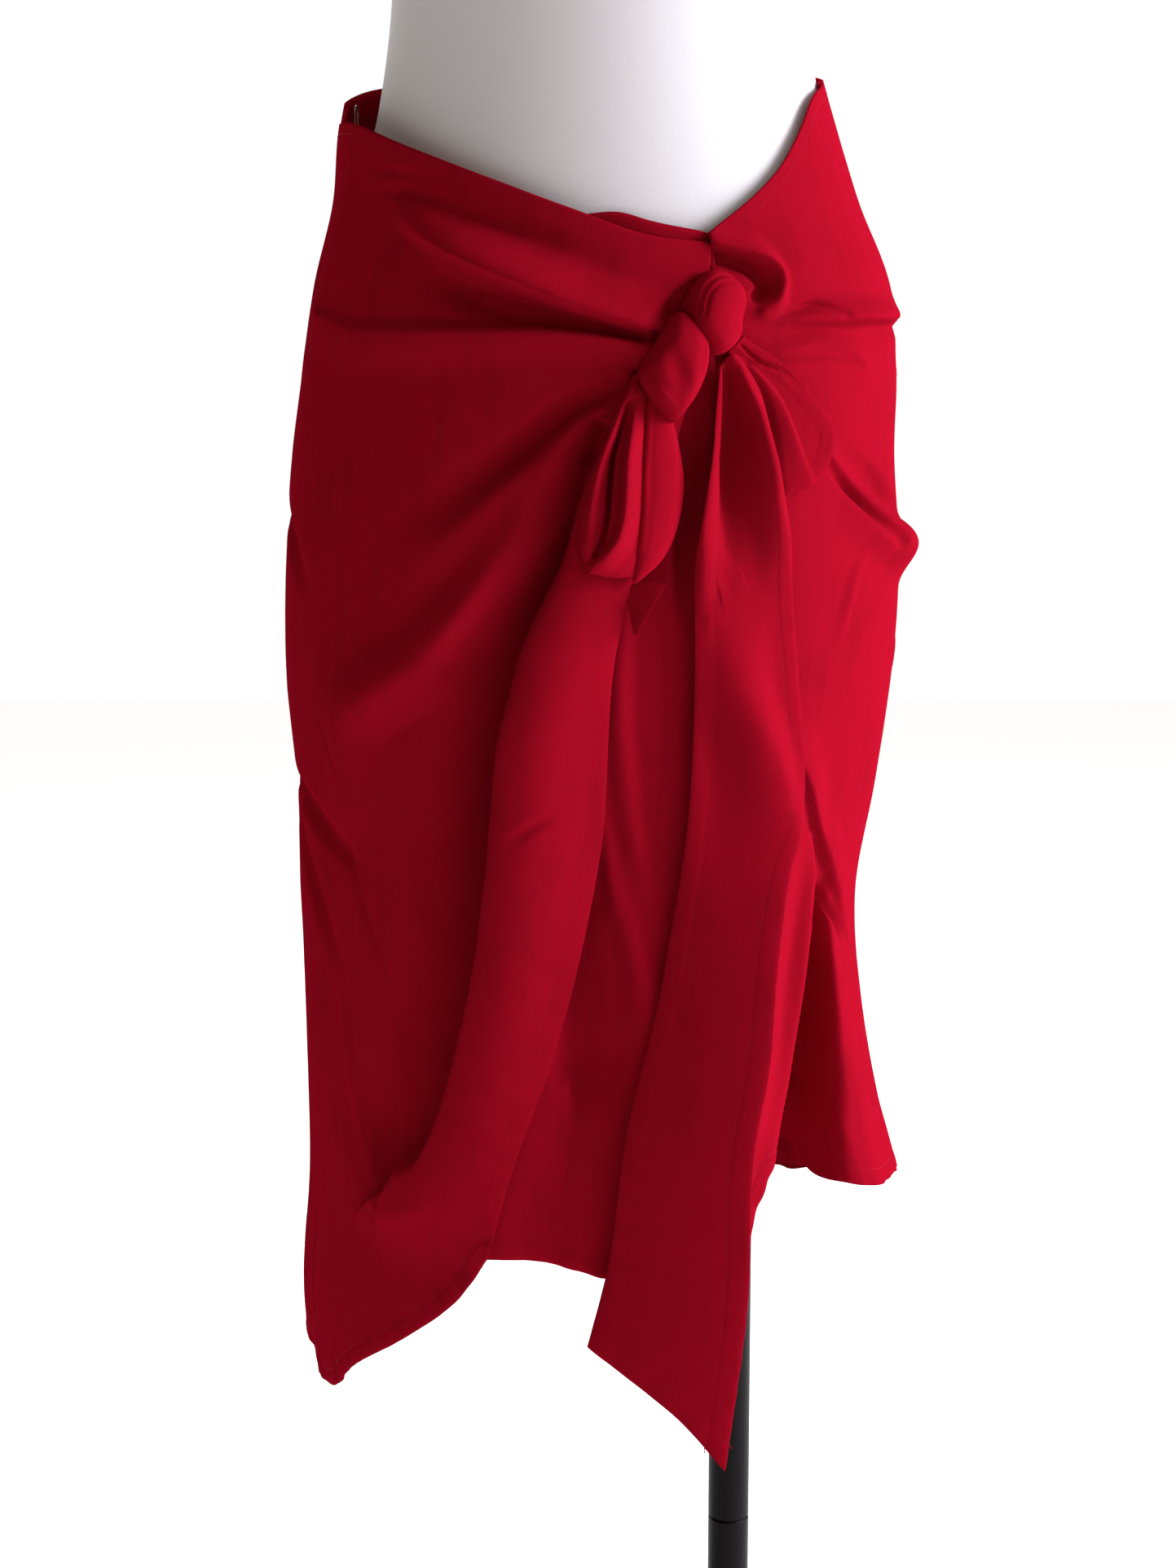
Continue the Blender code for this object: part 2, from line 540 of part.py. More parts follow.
def add_stand():
    flange_top = FORM_BOTTOM - TOUCH_GAP
    flange_low = flange_top - SOCKET_FLANGE_THICK
    socket_low = flange_top - SOCKET_DEPTH
    pole_top = flange_low - TOUCH_GAP
    bore = POLE_RADIUS + TOUCH_GAP
    plate_top, collar_top = BASE_THICK, BASE_THICK + TOUCH_GAP + COLLAR_HEIGHT
    collar_low = plate_top + TOUCH_GAP
    pole_low = collar_low + TOUCH_GAP + COLLAR_FLOOR
    turned(
        "pole_socket",
        (
            (0, flange_top),
            (SOCKET_FLANGE_RADIUS, flange_top),
            (SOCKET_FLANGE_RADIUS, flange_low),
            (SOCKET_RADIUS, flange_low),
            (SOCKET_RADIUS, socket_low),
            (bore, socket_low),
            (bore, flange_low),
            (0, flange_low),
        ),
        "pole_black",
        POLE_X,
    )
    for name, top, low in (
        ("pole_upper", pole_top, POLE_JOINT_UP + TOUCH_GAP),
        ("pole_lower", POLE_JOINT_UP, pole_low),
    ):
        profile = (
            (0, top),
            (POLE_RADIUS - EDGE_ROUND, top),
            (POLE_RADIUS, top - EDGE_ROUND),
            (POLE_RADIUS, low + EDGE_ROUND),
            (POLE_RADIUS - EDGE_ROUND, low),
            (0, low),
        )
        turned(name, profile, "pole_black", POLE_X)
    turned(
        "base_collar",
        (
            (bore, collar_top),
            (COLLAR_RADIUS - 2, collar_top),
            (COLLAR_RADIUS, collar_top - 2),
            (COLLAR_RADIUS, collar_low),
            (0, collar_low),
            (0, collar_low + COLLAR_FLOOR),
            (bore, collar_low + COLLAR_FLOOR),
            (bore, collar_top),
        ),
        "base_black",
        POLE_X,
    )
    turned(
        "base_plate",
        (
            (0, plate_top),
            (BASE_RADIUS - BASE_BEVEL, plate_top),
            (BASE_RADIUS, plate_top - BASE_BEVEL),
            (BASE_RADIUS, 0),
            (0, 0),
        ),
        "base_black",
    )
    cap_low = NECK_TOP + TOUCH_GAP
    turned(
        "form_neck_cap",
        (
            (0, cap_low + CAP_THICK),
            (CAP_RADIUS - 7, cap_low + CAP_THICK),
            (CAP_RADIUS - 2, cap_low + CAP_THICK - 2),
            (CAP_RADIUS, cap_low + CAP_THICK / 2),
            (CAP_RADIUS - 3, cap_low),
            (0, cap_low),
        ),
        "neck_cap",
    )


def add_hook_eye():
    """The small wire eye sewn inside the back's waist edge, beside the side seam."""
    around, up = HOOK_PLACE
    inward = -CLOTH - HOOK_CLEARANCE - HOOK_WIRE
    middle = skin(np.array([around]), np.array([up]), np.array([inward]))[0]
    curve = bpy.data.curves.new("hook_eye", "CURVE")
    curve.dimensions = "3D"
    curve.bevel_depth = HOOK_WIRE * MM
    curve.bevel_resolution = 1
    curve.use_fill_caps = True
    spline = curve.splines.new("POLY")
    width = HOOK_HALF_WIDTH
    arch = [(-width, -HOOK_LEG), (-width, 0), (-width * 0.7, width * 0.7), (0, width)]
    arch += [(-across, up) for across, up in arch[-2::-1]]
    turn = around / ROUND_RADIUS
    spline.points.add(len(arch) - 1)
    for point, (across, rise) in zip(spline.points, arch):
        place = middle + np.array([across * math.cos(turn), across * math.sin(turn), rise])
        point.co = (*(place * MM), 1)
    return add_object("hook_eye", curve, "hook_metal")


def main():
    clear_scene()
    collection = bpy.data.collections.new("wrap_tie_skirt")
    bpy.context.scene.collection.children.link(collection)
    make_finishes()
    cloth_piece("skirt_back", 32, PANEL_ROWS, place_back, CLOTH)
    cloth_piece("front_over", 34, 26, place_over, CLOTH)
    cloth_piece("front_under", 10, PANEL_ROWS, place_under, CLOTH)
    cloth_piece("front_right", 19, PANEL_ROWS, place_right, CLOTH)
    add_tie()
    add_form()
    add_stand()
    add_hook_eye()


main()
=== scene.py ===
# %% [markdown]
# # A wrap-front tie skirt on a dress form
#
# The skirt is cut from a dark crimson satin crepe: a back, a front that wraps over from one side, a
# narrower front under it, and a tie that is knotted in a half bow with one very long tail. It hangs on a
# white limbless form whose black pole stands off centre. Every piece of cloth becomes a fine sheet with its
# creases, hems and stitches, and every hard piece gets its real finish.

import math

import bmesh
import bpy
import numpy as np
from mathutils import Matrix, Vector, noise


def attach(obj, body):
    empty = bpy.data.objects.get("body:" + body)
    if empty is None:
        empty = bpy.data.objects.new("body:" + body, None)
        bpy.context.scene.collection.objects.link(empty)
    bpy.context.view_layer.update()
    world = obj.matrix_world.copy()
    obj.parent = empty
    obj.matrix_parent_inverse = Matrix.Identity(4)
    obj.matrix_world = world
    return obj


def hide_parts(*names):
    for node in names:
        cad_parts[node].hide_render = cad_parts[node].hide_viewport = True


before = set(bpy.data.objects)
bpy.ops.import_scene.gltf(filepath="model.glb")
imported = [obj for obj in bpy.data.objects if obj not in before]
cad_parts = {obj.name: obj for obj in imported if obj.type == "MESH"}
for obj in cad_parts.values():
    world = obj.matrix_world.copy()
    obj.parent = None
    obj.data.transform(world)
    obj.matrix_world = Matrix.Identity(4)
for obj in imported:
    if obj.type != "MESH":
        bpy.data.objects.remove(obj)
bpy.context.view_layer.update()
MM = 0.001
print("CAD nodes:", ", ".join(sorted(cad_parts)))

# %% [markdown]
# ## Camera, light and floor
#
# The photograph looks slightly down at the skirt from about 1.3 m, with the hem near the bottom of a tall
# frame. A white room lights the cloth softly from all round, and one large soft light from the right makes
# the folds read: without it the crimson would look flat. A weak one from behind keeps the back bright.

# %% Camera
FRAME_HEIGHT_PX = 1924
FOCAL_PX = 2909
SENSOR_MM = 36
CAMERA_PLACE = (-0.0072, -1.335, 0.837)
CAMERA_DIP = math.radians(8.5)

camera_data = bpy.data.cameras.new("camera")
camera_data.sensor_width = SENSOR_MM
camera_data.lens = FOCAL_PX / FRAME_HEIGHT_PX * SENSOR_MM
camera = bpy.data.objects.new("camera", camera_data)
camera.location = CAMERA_PLACE
camera.rotation_euler = (math.pi / 2 - CAMERA_DIP, 0, 0)
bpy.context.scene.collection.objects.link(camera)
bpy.context.scene.camera = camera
print(f"camera: {camera_data.lens:.1f} mm lens")

# %% Light
LOOK_AT = Vector((0, 0, 0.72))
DAYLIGHT = (0.84, 0.84, 1.0)  # red, green, blue: a window is a little cooler than the walls that it lights
WHITE = (1, 1, 1)
LIGHTS = (
    # name, place, size in metres, power in watts, colour
    ("window_right", (2.7, -0.42, 1.65), 1.5, 166, DAYLIGHT),
    ("fill_back", (-1.2, 2.4, 1.8), 2.0, 22, WHITE),
)


def add_soft_light(name, place, size, power, colour):
    """A large square light that faces the skirt."""
    data = bpy.data.lights.new(name, "AREA")
    data.size, data.energy, data.color = size, power, colour
    light = bpy.data.objects.new(name, data)
    light.location = place
    light.rotation_euler = (LOOK_AT - Vector(place)).to_track_quat("-Z", "Y").to_euler()
    bpy.context.scene.collection.objects.link(light)


bpy.context.scene.view_settings.view_transform = "Standard"
for light_row in LIGHTS:
    add_soft_light(*light_row)

# %% [markdown]
# ## Colours and nodes
#
# Colours are written as the sRGB hex values that a colour picker shows and turned to the linear numbers
# that shaders need. One small function adds any shader node with its settings and its links, so a material
# reads as a short list.

# %% Helpers for materials


def hex_colour(text):
    """Linear RGBA from an sRGB hex value."""
    parts = [int(text[i : i + 2], 16) / 255 for i in (0, 2, 4)]
    return (*[part / 12.92 if part <= 0.04045 else ((part + 0.055) / 1.055) ** 2.4 for part in parts], 1)


def add_node(tree, kind, settings=(), **inputs):
    """A shader node with its properties set; an input takes a value, or an output socket to link from."""
    node = tree.nodes.new(kind)
    for name, value in dict(settings).items():
        setattr(node, name, value)
    for name, value in inputs.items():
        socket = node.inputs[int(name[1:]) if name[0] == "_" else name.replace("_", " ")]
        if isinstance(value, bpy.types.NodeSocket):
            tree.links.new(value, socket)
        else:
            socket.default_value = value
    return node


def start_material(name, **surface):
    """A new material whose Principled shader has these plain values."""
    material = bpy.data.materials.new(name)
    material.use_nodes = True
    shader = material.node_tree.nodes["Principled BSDF"]
    for socket, value in surface.items():
        shader.inputs[socket.replace("_", " ")].default_value = value
    return material, material.node_tree, shader


# %% [markdown]
# ## The room
#
# The white room bounces light from all round, least from the wall beside the camera that is farthest from
# the window. That wall is why the side of a fold that turns away from the window goes so dark in the
# photograph. It only darkens the light that it throws: seen straight on, the room is plain white all round.

# %% The room
DARK_WALL = (-0.68, -0.73, 0.0)  # the way to the wall away from the window, to the left of the camera
ROOM_DARK, ROOM_LIGHT = 0.06, 1.0
FALLS_OFF = (0.95, -0.3)  # from facing that wall to well away from it
WALL_TINT = "DDB498"  # what the shaded wall throws back is warmer than daylight
UNTINTED_FROM = 0.97  # and this bright, it's white


def make_room():
    """A white room that is darker toward the wall away from its window."""
    world = bpy.data.worlds.new("white_room")
    world.use_nodes = True
    tree = world.node_tree
    way = add_node(tree, "ShaderNodeTexCoord")
    toward = add_node(
        tree, "ShaderNodeVectorMath", {"operation": "DOT_PRODUCT"}, _0=way.outputs["Generated"], _1=DARK_WALL
    )
    bright = add_node(tree, "ShaderNodeMapRange", {"interpolation_type": "SMOOTHSTEP"}, _0=toward.outputs[1])
    for socket, value in enumerate((*FALLS_OFF, ROOM_DARK, ROOM_LIGHT), start=1):
        bright.inputs[socket].default_value = value
    seen = add_node(tree, "ShaderNodeLightPath").outputs["Is Camera Ray"]
    wall = add_node(tree, "ShaderNodeMath", {"operation": "MAXIMUM"}, _0=bright.outputs[0], _1=seen)
    tint = add_node(tree, "ShaderNodeValToRGB", Fac=wall.outputs[0])
    tint.color_ramp.elements[0].color = hex_colour(WALL_TINT)
    tint.color_ramp.elements[1].position = UNTINTED_FROM
    tree.links.new(tint.outputs[0], tree.nodes["Background"].inputs["Color"])
    tree.links.new(wall.outputs[0], tree.nodes["Background"].inputs["Strength"])
    bpy.context.scene.world = world


make_room()
print("room:", ROOM_DARK, "to", ROOM_LIGHT)

# %% [markdown]
# ## Satin crepe
#
# Crepe is woven from hard-twisted yarns, so its face is slightly pebbled and scatters light, while the
# satin back gives it weight and a soft bloom where it turns away from the eye. The real yarns are about
# 0.25 mm apart, too fine to show here, so the pebble is drawn at 1.4 mm and the long soft streaks of the
# weave at 9 mm. Colour comes from the dye: a deep crimson, a little cloudy, that goes almost brown in the
# folds. What little the fibres reflect is dyed too, so the cloth has no white shine.

# %% The cloth's material
PEBBLE_MM = 1.4
PEBBLE_BUMP = {"Strength": 0.16, "Distance": 0.0006}
STREAK_MM = 9.0
STREAK_ALONG = 0.12  # the streaks change this much more slowly along the cloth than across it
CLOUDS_PER_MM = 0.018
DYE_FROM, DYE_TO = 0.7, 1.3  # streaks and clouds added up, where the dye is darkest and lightest


def make_satin_crepe(name, dark, light):
    """The crepe's face, from its darkest to its lightest dye."""
    material, tree, shader = start_material(
        name,
        Roughness=0.7,
        Specular_IOR_Level=0.0,
        Sheen_Weight=0.02,
        Sheen_Roughness=0.4,
        Sheen_Tint=hex_colour("F03060"),
    )
    flat = add_node(tree, "ShaderNodeUVMap", {"uv_map": "cloth_mm"}).outputs[0]
    stretch = (1 / STREAK_MM, STREAK_ALONG / STREAK_MM, 1)
    along = add_node(tree, "ShaderNodeMapping", Vector=flat, Scale=stretch).outputs[0]
    streaks = add_node(tree, "ShaderNodeTexNoise", Vector=along, Scale=1.0, Detail=3.0, Roughness=0.6)
    clouds = add_node(tree, "ShaderNodeTexNoise", Vector=flat, Scale=CLOUDS_PER_MM, Detail=2.0)
    both = add_node(tree, "ShaderNodeMath", {"operation": "ADD"}, _0=streaks.outputs[0], _1=clouds.outputs[0])
    dye = add_node(tree, "ShaderNodeValToRGB", Fac=both.outputs[0])
    for stop, position, colour in zip(dye.color_ramp.elements, (DYE_FROM, DYE_TO), (dark, light)):
        stop.position, stop.color = position, hex_colour(colour)
    tree.links.new(dye.outputs[0], shader.inputs["Base Color"])
    grain = add_node(tree, "ShaderNodeTexNoise", Vector=flat, Scale=1 / PEBBLE_MM, Detail=2.0, Roughness=0.55)
    bump = add_node(tree, "ShaderNodeBump", Height=grain.outputs[0], **PEBBLE_BUMP)
    tree.links.new(bump.outputs[0], shader.inputs["Normal"])
    return material


satin_crepe = make_satin_crepe("satin_crepe", "800818", "88081A")
print("material:", satin_crepe.name)

# %% [markdown]
# ## Measuring on the cloth
#
# A cutter measures round the body and up from the floor, so places on the skirt are written the same way:
# `around` is millimetres from the centre front, positive to the right of the picture, `up` is millimetres
# above the floor and `out` is how far a point stands off the skirt's own surface. Curves between the few
# points that a table gives are Catmull-Rom, because cloth has no corners.

# %% Curves
ROUND_RADIUS = 158.0  # a turn of one radian is this much `around`
WHOLE_TURN = 2 * math.pi * ROUND_RADIUS
PATH_POINTS = 41  # a path is measured to as this many points on its smooth curve


def smooth(knots, values, at):
    """Reads a smooth curve through the values at the knots (Catmull-Rom), level past its ends."""
    knots, values = np.asarray(knots, float), np.asarray(values, float)
    slopes = np.gradient(values, knots)
    at = np.clip(at, knots[0], knots[-1])
    left = np.clip(np.searchsorted(knots, at, side="right") - 1, 0, len(knots) - 2)
    width = knots[left + 1] - knots[left]
    t = (at - knots[left]) / width
    rise = values[left] * (1 + 2 * t) * (1 - t) ** 2 + values[left + 1] * t * t * (3 - 2 * t)
    return rise + width * (slopes[left] * t * (1 - t) ** 2 - slopes[left + 1] * t * t * (1 - t))


def length_of(path):
    """The length of a path in millimetres, from point to point."""
    return np.hypot(*np.diff(np.asarray(path, float)[:, :2], axis=0).T).sum()


def curve_through(points, share):
    """Points on a smooth curve through `points`, at shares 0 to 1 of its length."""
    points = np.asarray(points, float)
    steps = np.hypot(*np.diff(points[:, :2], axis=0).T)
    knots = np.concatenate([[0], np.cumsum(steps)]) / steps.sum()
    return np.stack([smooth(knots, column, share) for column in points.T], axis=-1)


def ease(low, high, value):
    """0 below `low`, 1 above `high`, and smooth between them."""
    t = np.clip((value - low) / (high - low), 0, 1)
    return t * t * (3 - 2 * t)


def nearest_on(path, around, up):
    """For each point: how far the path is, whether the point is left of it, and the path's share there."""
    line = curve_through(path, np.linspace(0, 1, PATH_POINTS))
    start, step = line[:-1, :2], np.diff(line[:, :2], axis=0)
    away = np.stack([around, up], axis=-1)[:, None, :] - start
    along = np.clip((away * step).sum(-1) / (step * step).sum(-1), 0, 1)
    miss = away - along[..., None] * step
    nearest = np.argmin((miss * miss).sum(-1), axis=1)
    row = np.arange(len(around))
    miss, along = miss[row, nearest], (nearest + along[row, nearest]) / len(step)
    is_left = step[nearest, 0] * miss[:, 1] - step[nearest, 1] * miss[:, 0] > 0
    return np.hypot(*miss.T), is_left, along


print(f"once round the skirt is {WHOLE_TURN:.0f} mm at the reference radius")

# %% [markdown]
# ## Folds
#
# Each fold is one row of a table: the path of its crest, then for the side on the left of that way and the
# side on its right how far it reaches at its start and its end and how crisply it meets the crest, from -1,
# which is boxy, through 0, which is round, to 1, which is sharp, and last its height at the start, middle
# and end. A trough has a height below zero. A pleat that turns under is steep and crisp on one side and
# long and round on the other. Folds are summed, the way they run into each other in real cloth, and a fine
# unevenness goes on top because no cloth is ever quite smooth.

# %% How a fold shapes the cloth
ROUND = 0  # the crispness of a side that doesn't say one
SHARP_POWER = 1.4  # how a fully sharp fold falls away from its crest
BEYOND = 1.5  # places farther from a path than this many reaches are left alone


def fold_heights(around, up, folds):
    """What a table of folds adds to `out`."""
    total = np.zeros_like(around, dtype=float)
    for _, path, left_side, right_side, heights in folds:
        reach = max(*left_side[:2], *right_side[:2])
        low, high = np.min(path, axis=0)[:2] - BEYOND * reach, np.max(path, axis=0)[:2] + BEYOND * reach
        near = (around > low[0]) & (around < high[0]) & (up > low[1]) & (up < high[1])
        if not near.any():
            continue
        miss, is_left, share = nearest_on(path, around[near], up[near])
        left, right = [side[0] + (side[1] - side[0]) * share for side in (left_side, right_side)]
        away = np.clip(miss / np.where(is_left, left, right), 0, 1)
        crisp = np.where(is_left, *[side[2] if len(side) > 2 else ROUND for side in (left_side, right_side)])
        slope = (1 - crisp) * 0.5 * (1 + np.cos(math.pi * away)) + crisp * (1 - away) ** SHARP_POWER
        total[near] += smooth((0, 0.5, 1), heights, share) * slope
    return total


def crumple(around, up, size, stretch, seed):
    """Fine unevenness between -1 and 1, `size` mm wide and `stretch` times as long."""
    spots = np.stack([around / size, up / (size * stretch), np.full_like(around, seed)], axis=-1)
    return np.array([noise.noise(Vector(spot)) for spot in spots])


def crumples(around, up, layers):
    """Fine unevenness in layers, each with its height, size, stretch and seed."""
    return sum(layer[0] * crumple(around, up, *layer[1:]) for layer in layers)


# %% The skirt's own surface
SKIRT_SECTIONS = (
    # up, left, right, front, back
    (280, 164, 178, 155, 146),
    (340, 169, 176, 152, 144),
    (410, 166, 173, 148, 141),
    (460, 167, 160, 145, 138),
    (520, 169, 149, 141, 135),
    (580, 171, 145, 138, 133),
    (640, 172, 155, 136, 131),
    (700, 177, 163, 134, 131),
    (740, 177, 166, 132, 132),
    (780, 175, 166, 130, 134),
    (820, 172, 163, 126, 136),
    (870, 165, 163, 120, 135),
    (915, 158, 159, 112, 129),
    (960, 147, 141, 104, 117),
    (1000, 143, 128, 96, 105),
    (1040, 134, 116, 92, 99),
)
FORM_SECTIONS = (
    # up, left, right, front, back
    (744, 60, 60, 40, 44),
    (744.2, 122, 122, 78, 86),
    (751, 138, 138, 89, 99),
    (780, 152, 151, 98, 113),
    (825, 160, 158.5, 104, 123),
    (870, 163, 161, 107, 126),
    (915, 152, 151, 103, 120),
    (960, 135, 134, 97, 108),
    (1010, 121, 119, 89, 96),
    (1075, 113, 112, 84, 88),
    (1130, 117, 117, 90, 93),
    (1180, 126, 126, 101, 100),
    (1235, 137, 137, 118, 106),
    (1290, 146, 146, 107, 110),
    (1340, 155, 155, 89, 107),
    (1380, 156, 156, 71, 93),
    (1402, 138, 138, 60, 80),
    (1420, 104, 104, 53, 68),
    (1438, 68, 68, 50, 58),
    (1462, 55, 55, 50, 54),
    (1501, 53, 53, 50, 52),
    (1502, 46, 46, 44, 45),
)
OFF_FORM = 1.3  # the outside of the cloth is at least this far off the form, which is where it lies on it
SETTLE = 1.5  # and it eases onto the form over this much
FORM_ROUND = 2  # the row of the form's table where its sides start
UNDER_FORM = (725.0, 751.0)  # `up`: below the form the cloth is free to swing in
HOLLOW_BELOW = 60.0  # by this much
LEANING_FOLDS = (
    # name, path (around, up), left and right side (reach at start, at end, crispness if not round), heights
    ("recess", ((140, 600), (142, 590), (142, 577), (140, 557), (133, 533), (125, 513), (116, 492),
     (107, 476), (93, 445)), (14, 74), (7, 8), (0, -56, -52)),
    ("lower_valley", ((-2, 838), (-14, 808), (-24, 772), (-35, 747), (-43, 727), (-48, 706), (-53, 686),
     (-58, 644), (-62, 602), (-68, 559), (-78, 516), (-88, 483), (-98, 462)),
     (6, 12, 0.2), (9, 62, 0.3), (-11, -31, -14)),
)
LEANS = (0.9, 0.4)  # how far each of them leans sideways, for each millimetre of its depth
SKIN_FOLDS = (
    *LEANING_FOLDS,
    ("flute", ((104, 700), (98, 655), (89, 618), (82, 585), (78, 558), (72, 518), (65, 480), (60, 445),
     (58, 400)), (50, 40, 0.2), (36, 50), (0, 24, 24)),
    ("flute_edge", ((124, 624), (133, 610), (137, 597), (136, 580), (130, 558), (121, 533), (113, 513),
     (104, 492), (95, 476), (80, 446)), (5, 5, 0.3), (14, 14), (2, 6, 5)),
    ("right_flute", ((168, 600), (172, 540), (176, 480), (170, 415)), (26, 28), (18, 18), (0, 2, 4)),
    ("side_trough", ((272, 690), (274, 540), (274, 390)), (26, 26), (24, 24, 0.2), (0, -8, -15)),
    ("back_flute_1", ((312, 750), (309, 560), (314, 380)), (18, 26, 0.4), (22, 32), (0, 8, 18)),
    ("back_trough_1", ((358, 770), (356, 560), (360, 370)), (20, 28), (20, 30), (0, -8, -17)),
    ("back_flute_2", ((402, 700), (404, 540), (405, 350)), (22, 32), (18, 28, 0.4), (0, 7, 15)),
    ("back_trough_2", ((458, 800), (455, 560), (458, 340)), (20, 32), (20, 32), (0, -10, -18)),
    ("back_flute_3", ((512, 740), (513, 540), (515, 330)), (18, 28, 0.4), (22, 34), (0, 9, 18)),
    ("back_trough_3", ((566, 690), (569, 520), (570, 310)), (20, 30), (20, 30), (0, -7, -16)),
    ("back_flute_4", ((620, 760), (619, 560), (624, 300)), (22, 32), (18, 26, 0.4), (0, 8, 15)),
    ("back_trough_4", ((676, 770), (677, 540), (680, 290)), (20, 32), (20, 32), (0, -8, -15)),
    ("back_flute_5", ((734, 640), (732, 500), (730, 280)), (20, 30), (20, 30), (0, 4, 9)),
    ("back_waist_line", ((380, 984), (470, 977), (560, 984)), (5, 5), (6, 6, 0.3), (0, -2.2, 0)),
    ("back_crease_1", ((246, 868), (300, 850), (362, 846)), (9, 10), (5, 6, 0.4), (1, 3.5, 0)),
    ("back_crease_2", ((738, 862), (690, 838), (636, 830)), (6, 6, 0.4), (9, 10), (1, 3.5, 0)),
    ("back_crease_3", ((240, 716), (284, 668), (326, 600)), (10, 12), (6, 7, 0.4), (1, 4, 1)),
    ("back_crease_4", ((742, 706), (702, 654), (655, 588)), (6, 7, 0.4), (10, 12), (1, 4, 1)),
    ("right_notch", ((128, 828), (166, 812), (198, 798), (224, 790)), (12, 12), (12, 12), (0, -6, -4)),
    ("right_bump", ((136, 800), (186, 782), (226, 774), (270, 772)), (20, 22), (22, 24), (0, 13, 0)),
    ("hip_tuck", ((70, 885), (116, 891), (149, 893), (192, 895), (240, 897)),
     (14, 16), (3, 3, 0.5), (1, 5, 3)),
    ("hip_notch", ((160, 891), (200, 892), (250, 895)), (7, 7), (8, 8), (0, -3, -1)),
    ("soft_tuck", ((80, 872), (120, 875), (140, 875), (160, 871)), (9, 9), (3, 4, 0.4), (1, 3.5, 1)),
    ("left_notch", ((-246, 646), (-190, 632), (-152, 616), (-120, 600)), (11, 11), (11, 11), (-6, -5, 0)),
    ("left_crease", ((-252, 800), (-212, 778), (-170, 752)), (12, 12), (12, 12), (-3, -5, 0)),
    ("left_low_crease", ((-226, 626), (-190, 592), (-150, 545)), (12, 12), (12, 12), (-3, -5, 0)),
    ("back_seat_drape", ((300, 905), (420, 868), (560, 866), (690, 905)), (22, 22), (16, 16, 0.2), (0, 5, 0)),
    ("back_seat_trough", ((330, 862), (430, 834), (550, 832), (660, 862)), (16, 16), (18, 18), (0, -4, 0)),
)


def half_sizes(sections, turn, up):
    """How wide and how deep a table of sections is in the quarter that `turn` points to."""
    rows = np.array(sections, float)
    left, right, front, back = [smooth(rows[:, 0], rows[:, side], up) for side in (1, 2, 3, 4)]
    return np.where(np.sin(turn) < 0, left, right), np.where(np.cos(turn) > 0, front, back)


def skin(around, up, out):
    """Points of the skirt's surface with its shared folds, moved outward by `out`, in millimetres."""
    for turns in (-1, 0, 1):
        out = out + fold_heights(around + turns * WHOLE_TURN, up, SKIN_FOLDS)
    around = around - sum(lean * fold_heights(around, up, (row,)) for lean, row in zip(LEANS, LEANING_FOLDS))
    turn = around / ROUND_RADIUS
    wide, deep = half_sizes(SKIRT_SECTIONS, turn, up)
    form_wide, form_deep = half_sizes(FORM_SECTIONS[FORM_ROUND:], turn, up)
    rest = np.maximum(form_wide - wide, form_deep - deep) + OFF_FORM
    rest -= HOLLOW_BELOW * (1 - ease(*UNDER_FORM, up))
    over = out - rest - SETTLE
    out = np.where(over > 0, out, rest + SETTLE * np.exp(np.minimum(over, 0) / SETTLE))
    return np.stack([(wide + out) * np.sin(turn), -(deep + out) * np.cos(turn), up], axis=-1)


print(f"{len(SKIN_FOLDS)} folds are shared by all the panels")

# %% [markdown]
# ## A sheet of cloth
#
# A panel starts as a flat bmesh grid. Its four sides are drawn as curves, a Coons patch finds the places
# between them, and the folds push those places out. Grid lines crowd at a hem, where the cloth is turned up
# and stitched, so that the fold of the hem and the dimple of the stitches are real shape. Solidify then
# gives the cloth its wall. The flat places are kept as the UV map, in millimetres, so the weave follows the
# cloth.

# %% Make a sheet of cloth
CLOTH_WALL = 1.0  # twice the real cloth, so that its edges show
HEM_DEPTH = 9.0
HEM_LINES = (0, 0.5, 1.2, 3, 6, 8.3, 9.2)  # places of the grid lines from a hemmed edge


def grid_lines(count, length, hem_low=False, hem_high=False):
    """Places from 0 to 1 of the grid lines across `length` mm, crowded at the hemmed ends."""
    rim = np.array(HEM_LINES) / length
    low, high = (rim if hem_low else rim[:1]), (1 - rim[::-1] if hem_high else 1 - rim[:1])
    middle = np.linspace(low[-1], high[0], count + 3 - len(low) - len(high))[1:-1]
    return np.concatenate([low, middle, high])


def round_lines(count):
    """Places from 0 to 1 that crowd at both ends, for a band whose sides curve under."""
    return 0.5 - 0.5 * np.cos(np.linspace(0, math.pi, count))


def inside_edges(u, v, bottom, top, left, right):
    """Places at the shares u and v of a panel with four curved edges, as a Coons patch."""
    bottom_points, top_points = curve_through(bottom, u), curve_through(top, u)
    left_points, right_points = curve_through(left, v), curve_through(right, v)
    u, v = u[:, None], v[:, None]
    corners = [np.asarray(edge[end], float) for edge, end in ((bottom, 0), (bottom, -1), (top, 0), (top, -1))]
    ruled = (1 - v) * bottom_points + v * top_points + (1 - u) * left_points + u * right_points
    low, high = (1 - u) * corners[0] + u * corners[1], (1 - u) * corners[2] + u * corners[3]
    return ruled - (1 - v) * low - v * high


def finish_piece(name, bm, material):
    """A smooth object from a bmesh, riding on the part's one body."""
    mesh = bpy.data.meshes.new(name)
    bm.to_mesh(mesh)
    bm.free()
    mesh.shade_smooth()
    mesh.materials.append(material)
    piece = bpy.data.objects.new(name, mesh)
    bpy.context.scene.collection.objects.link(piece)
    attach(piece, "root")
    return piece


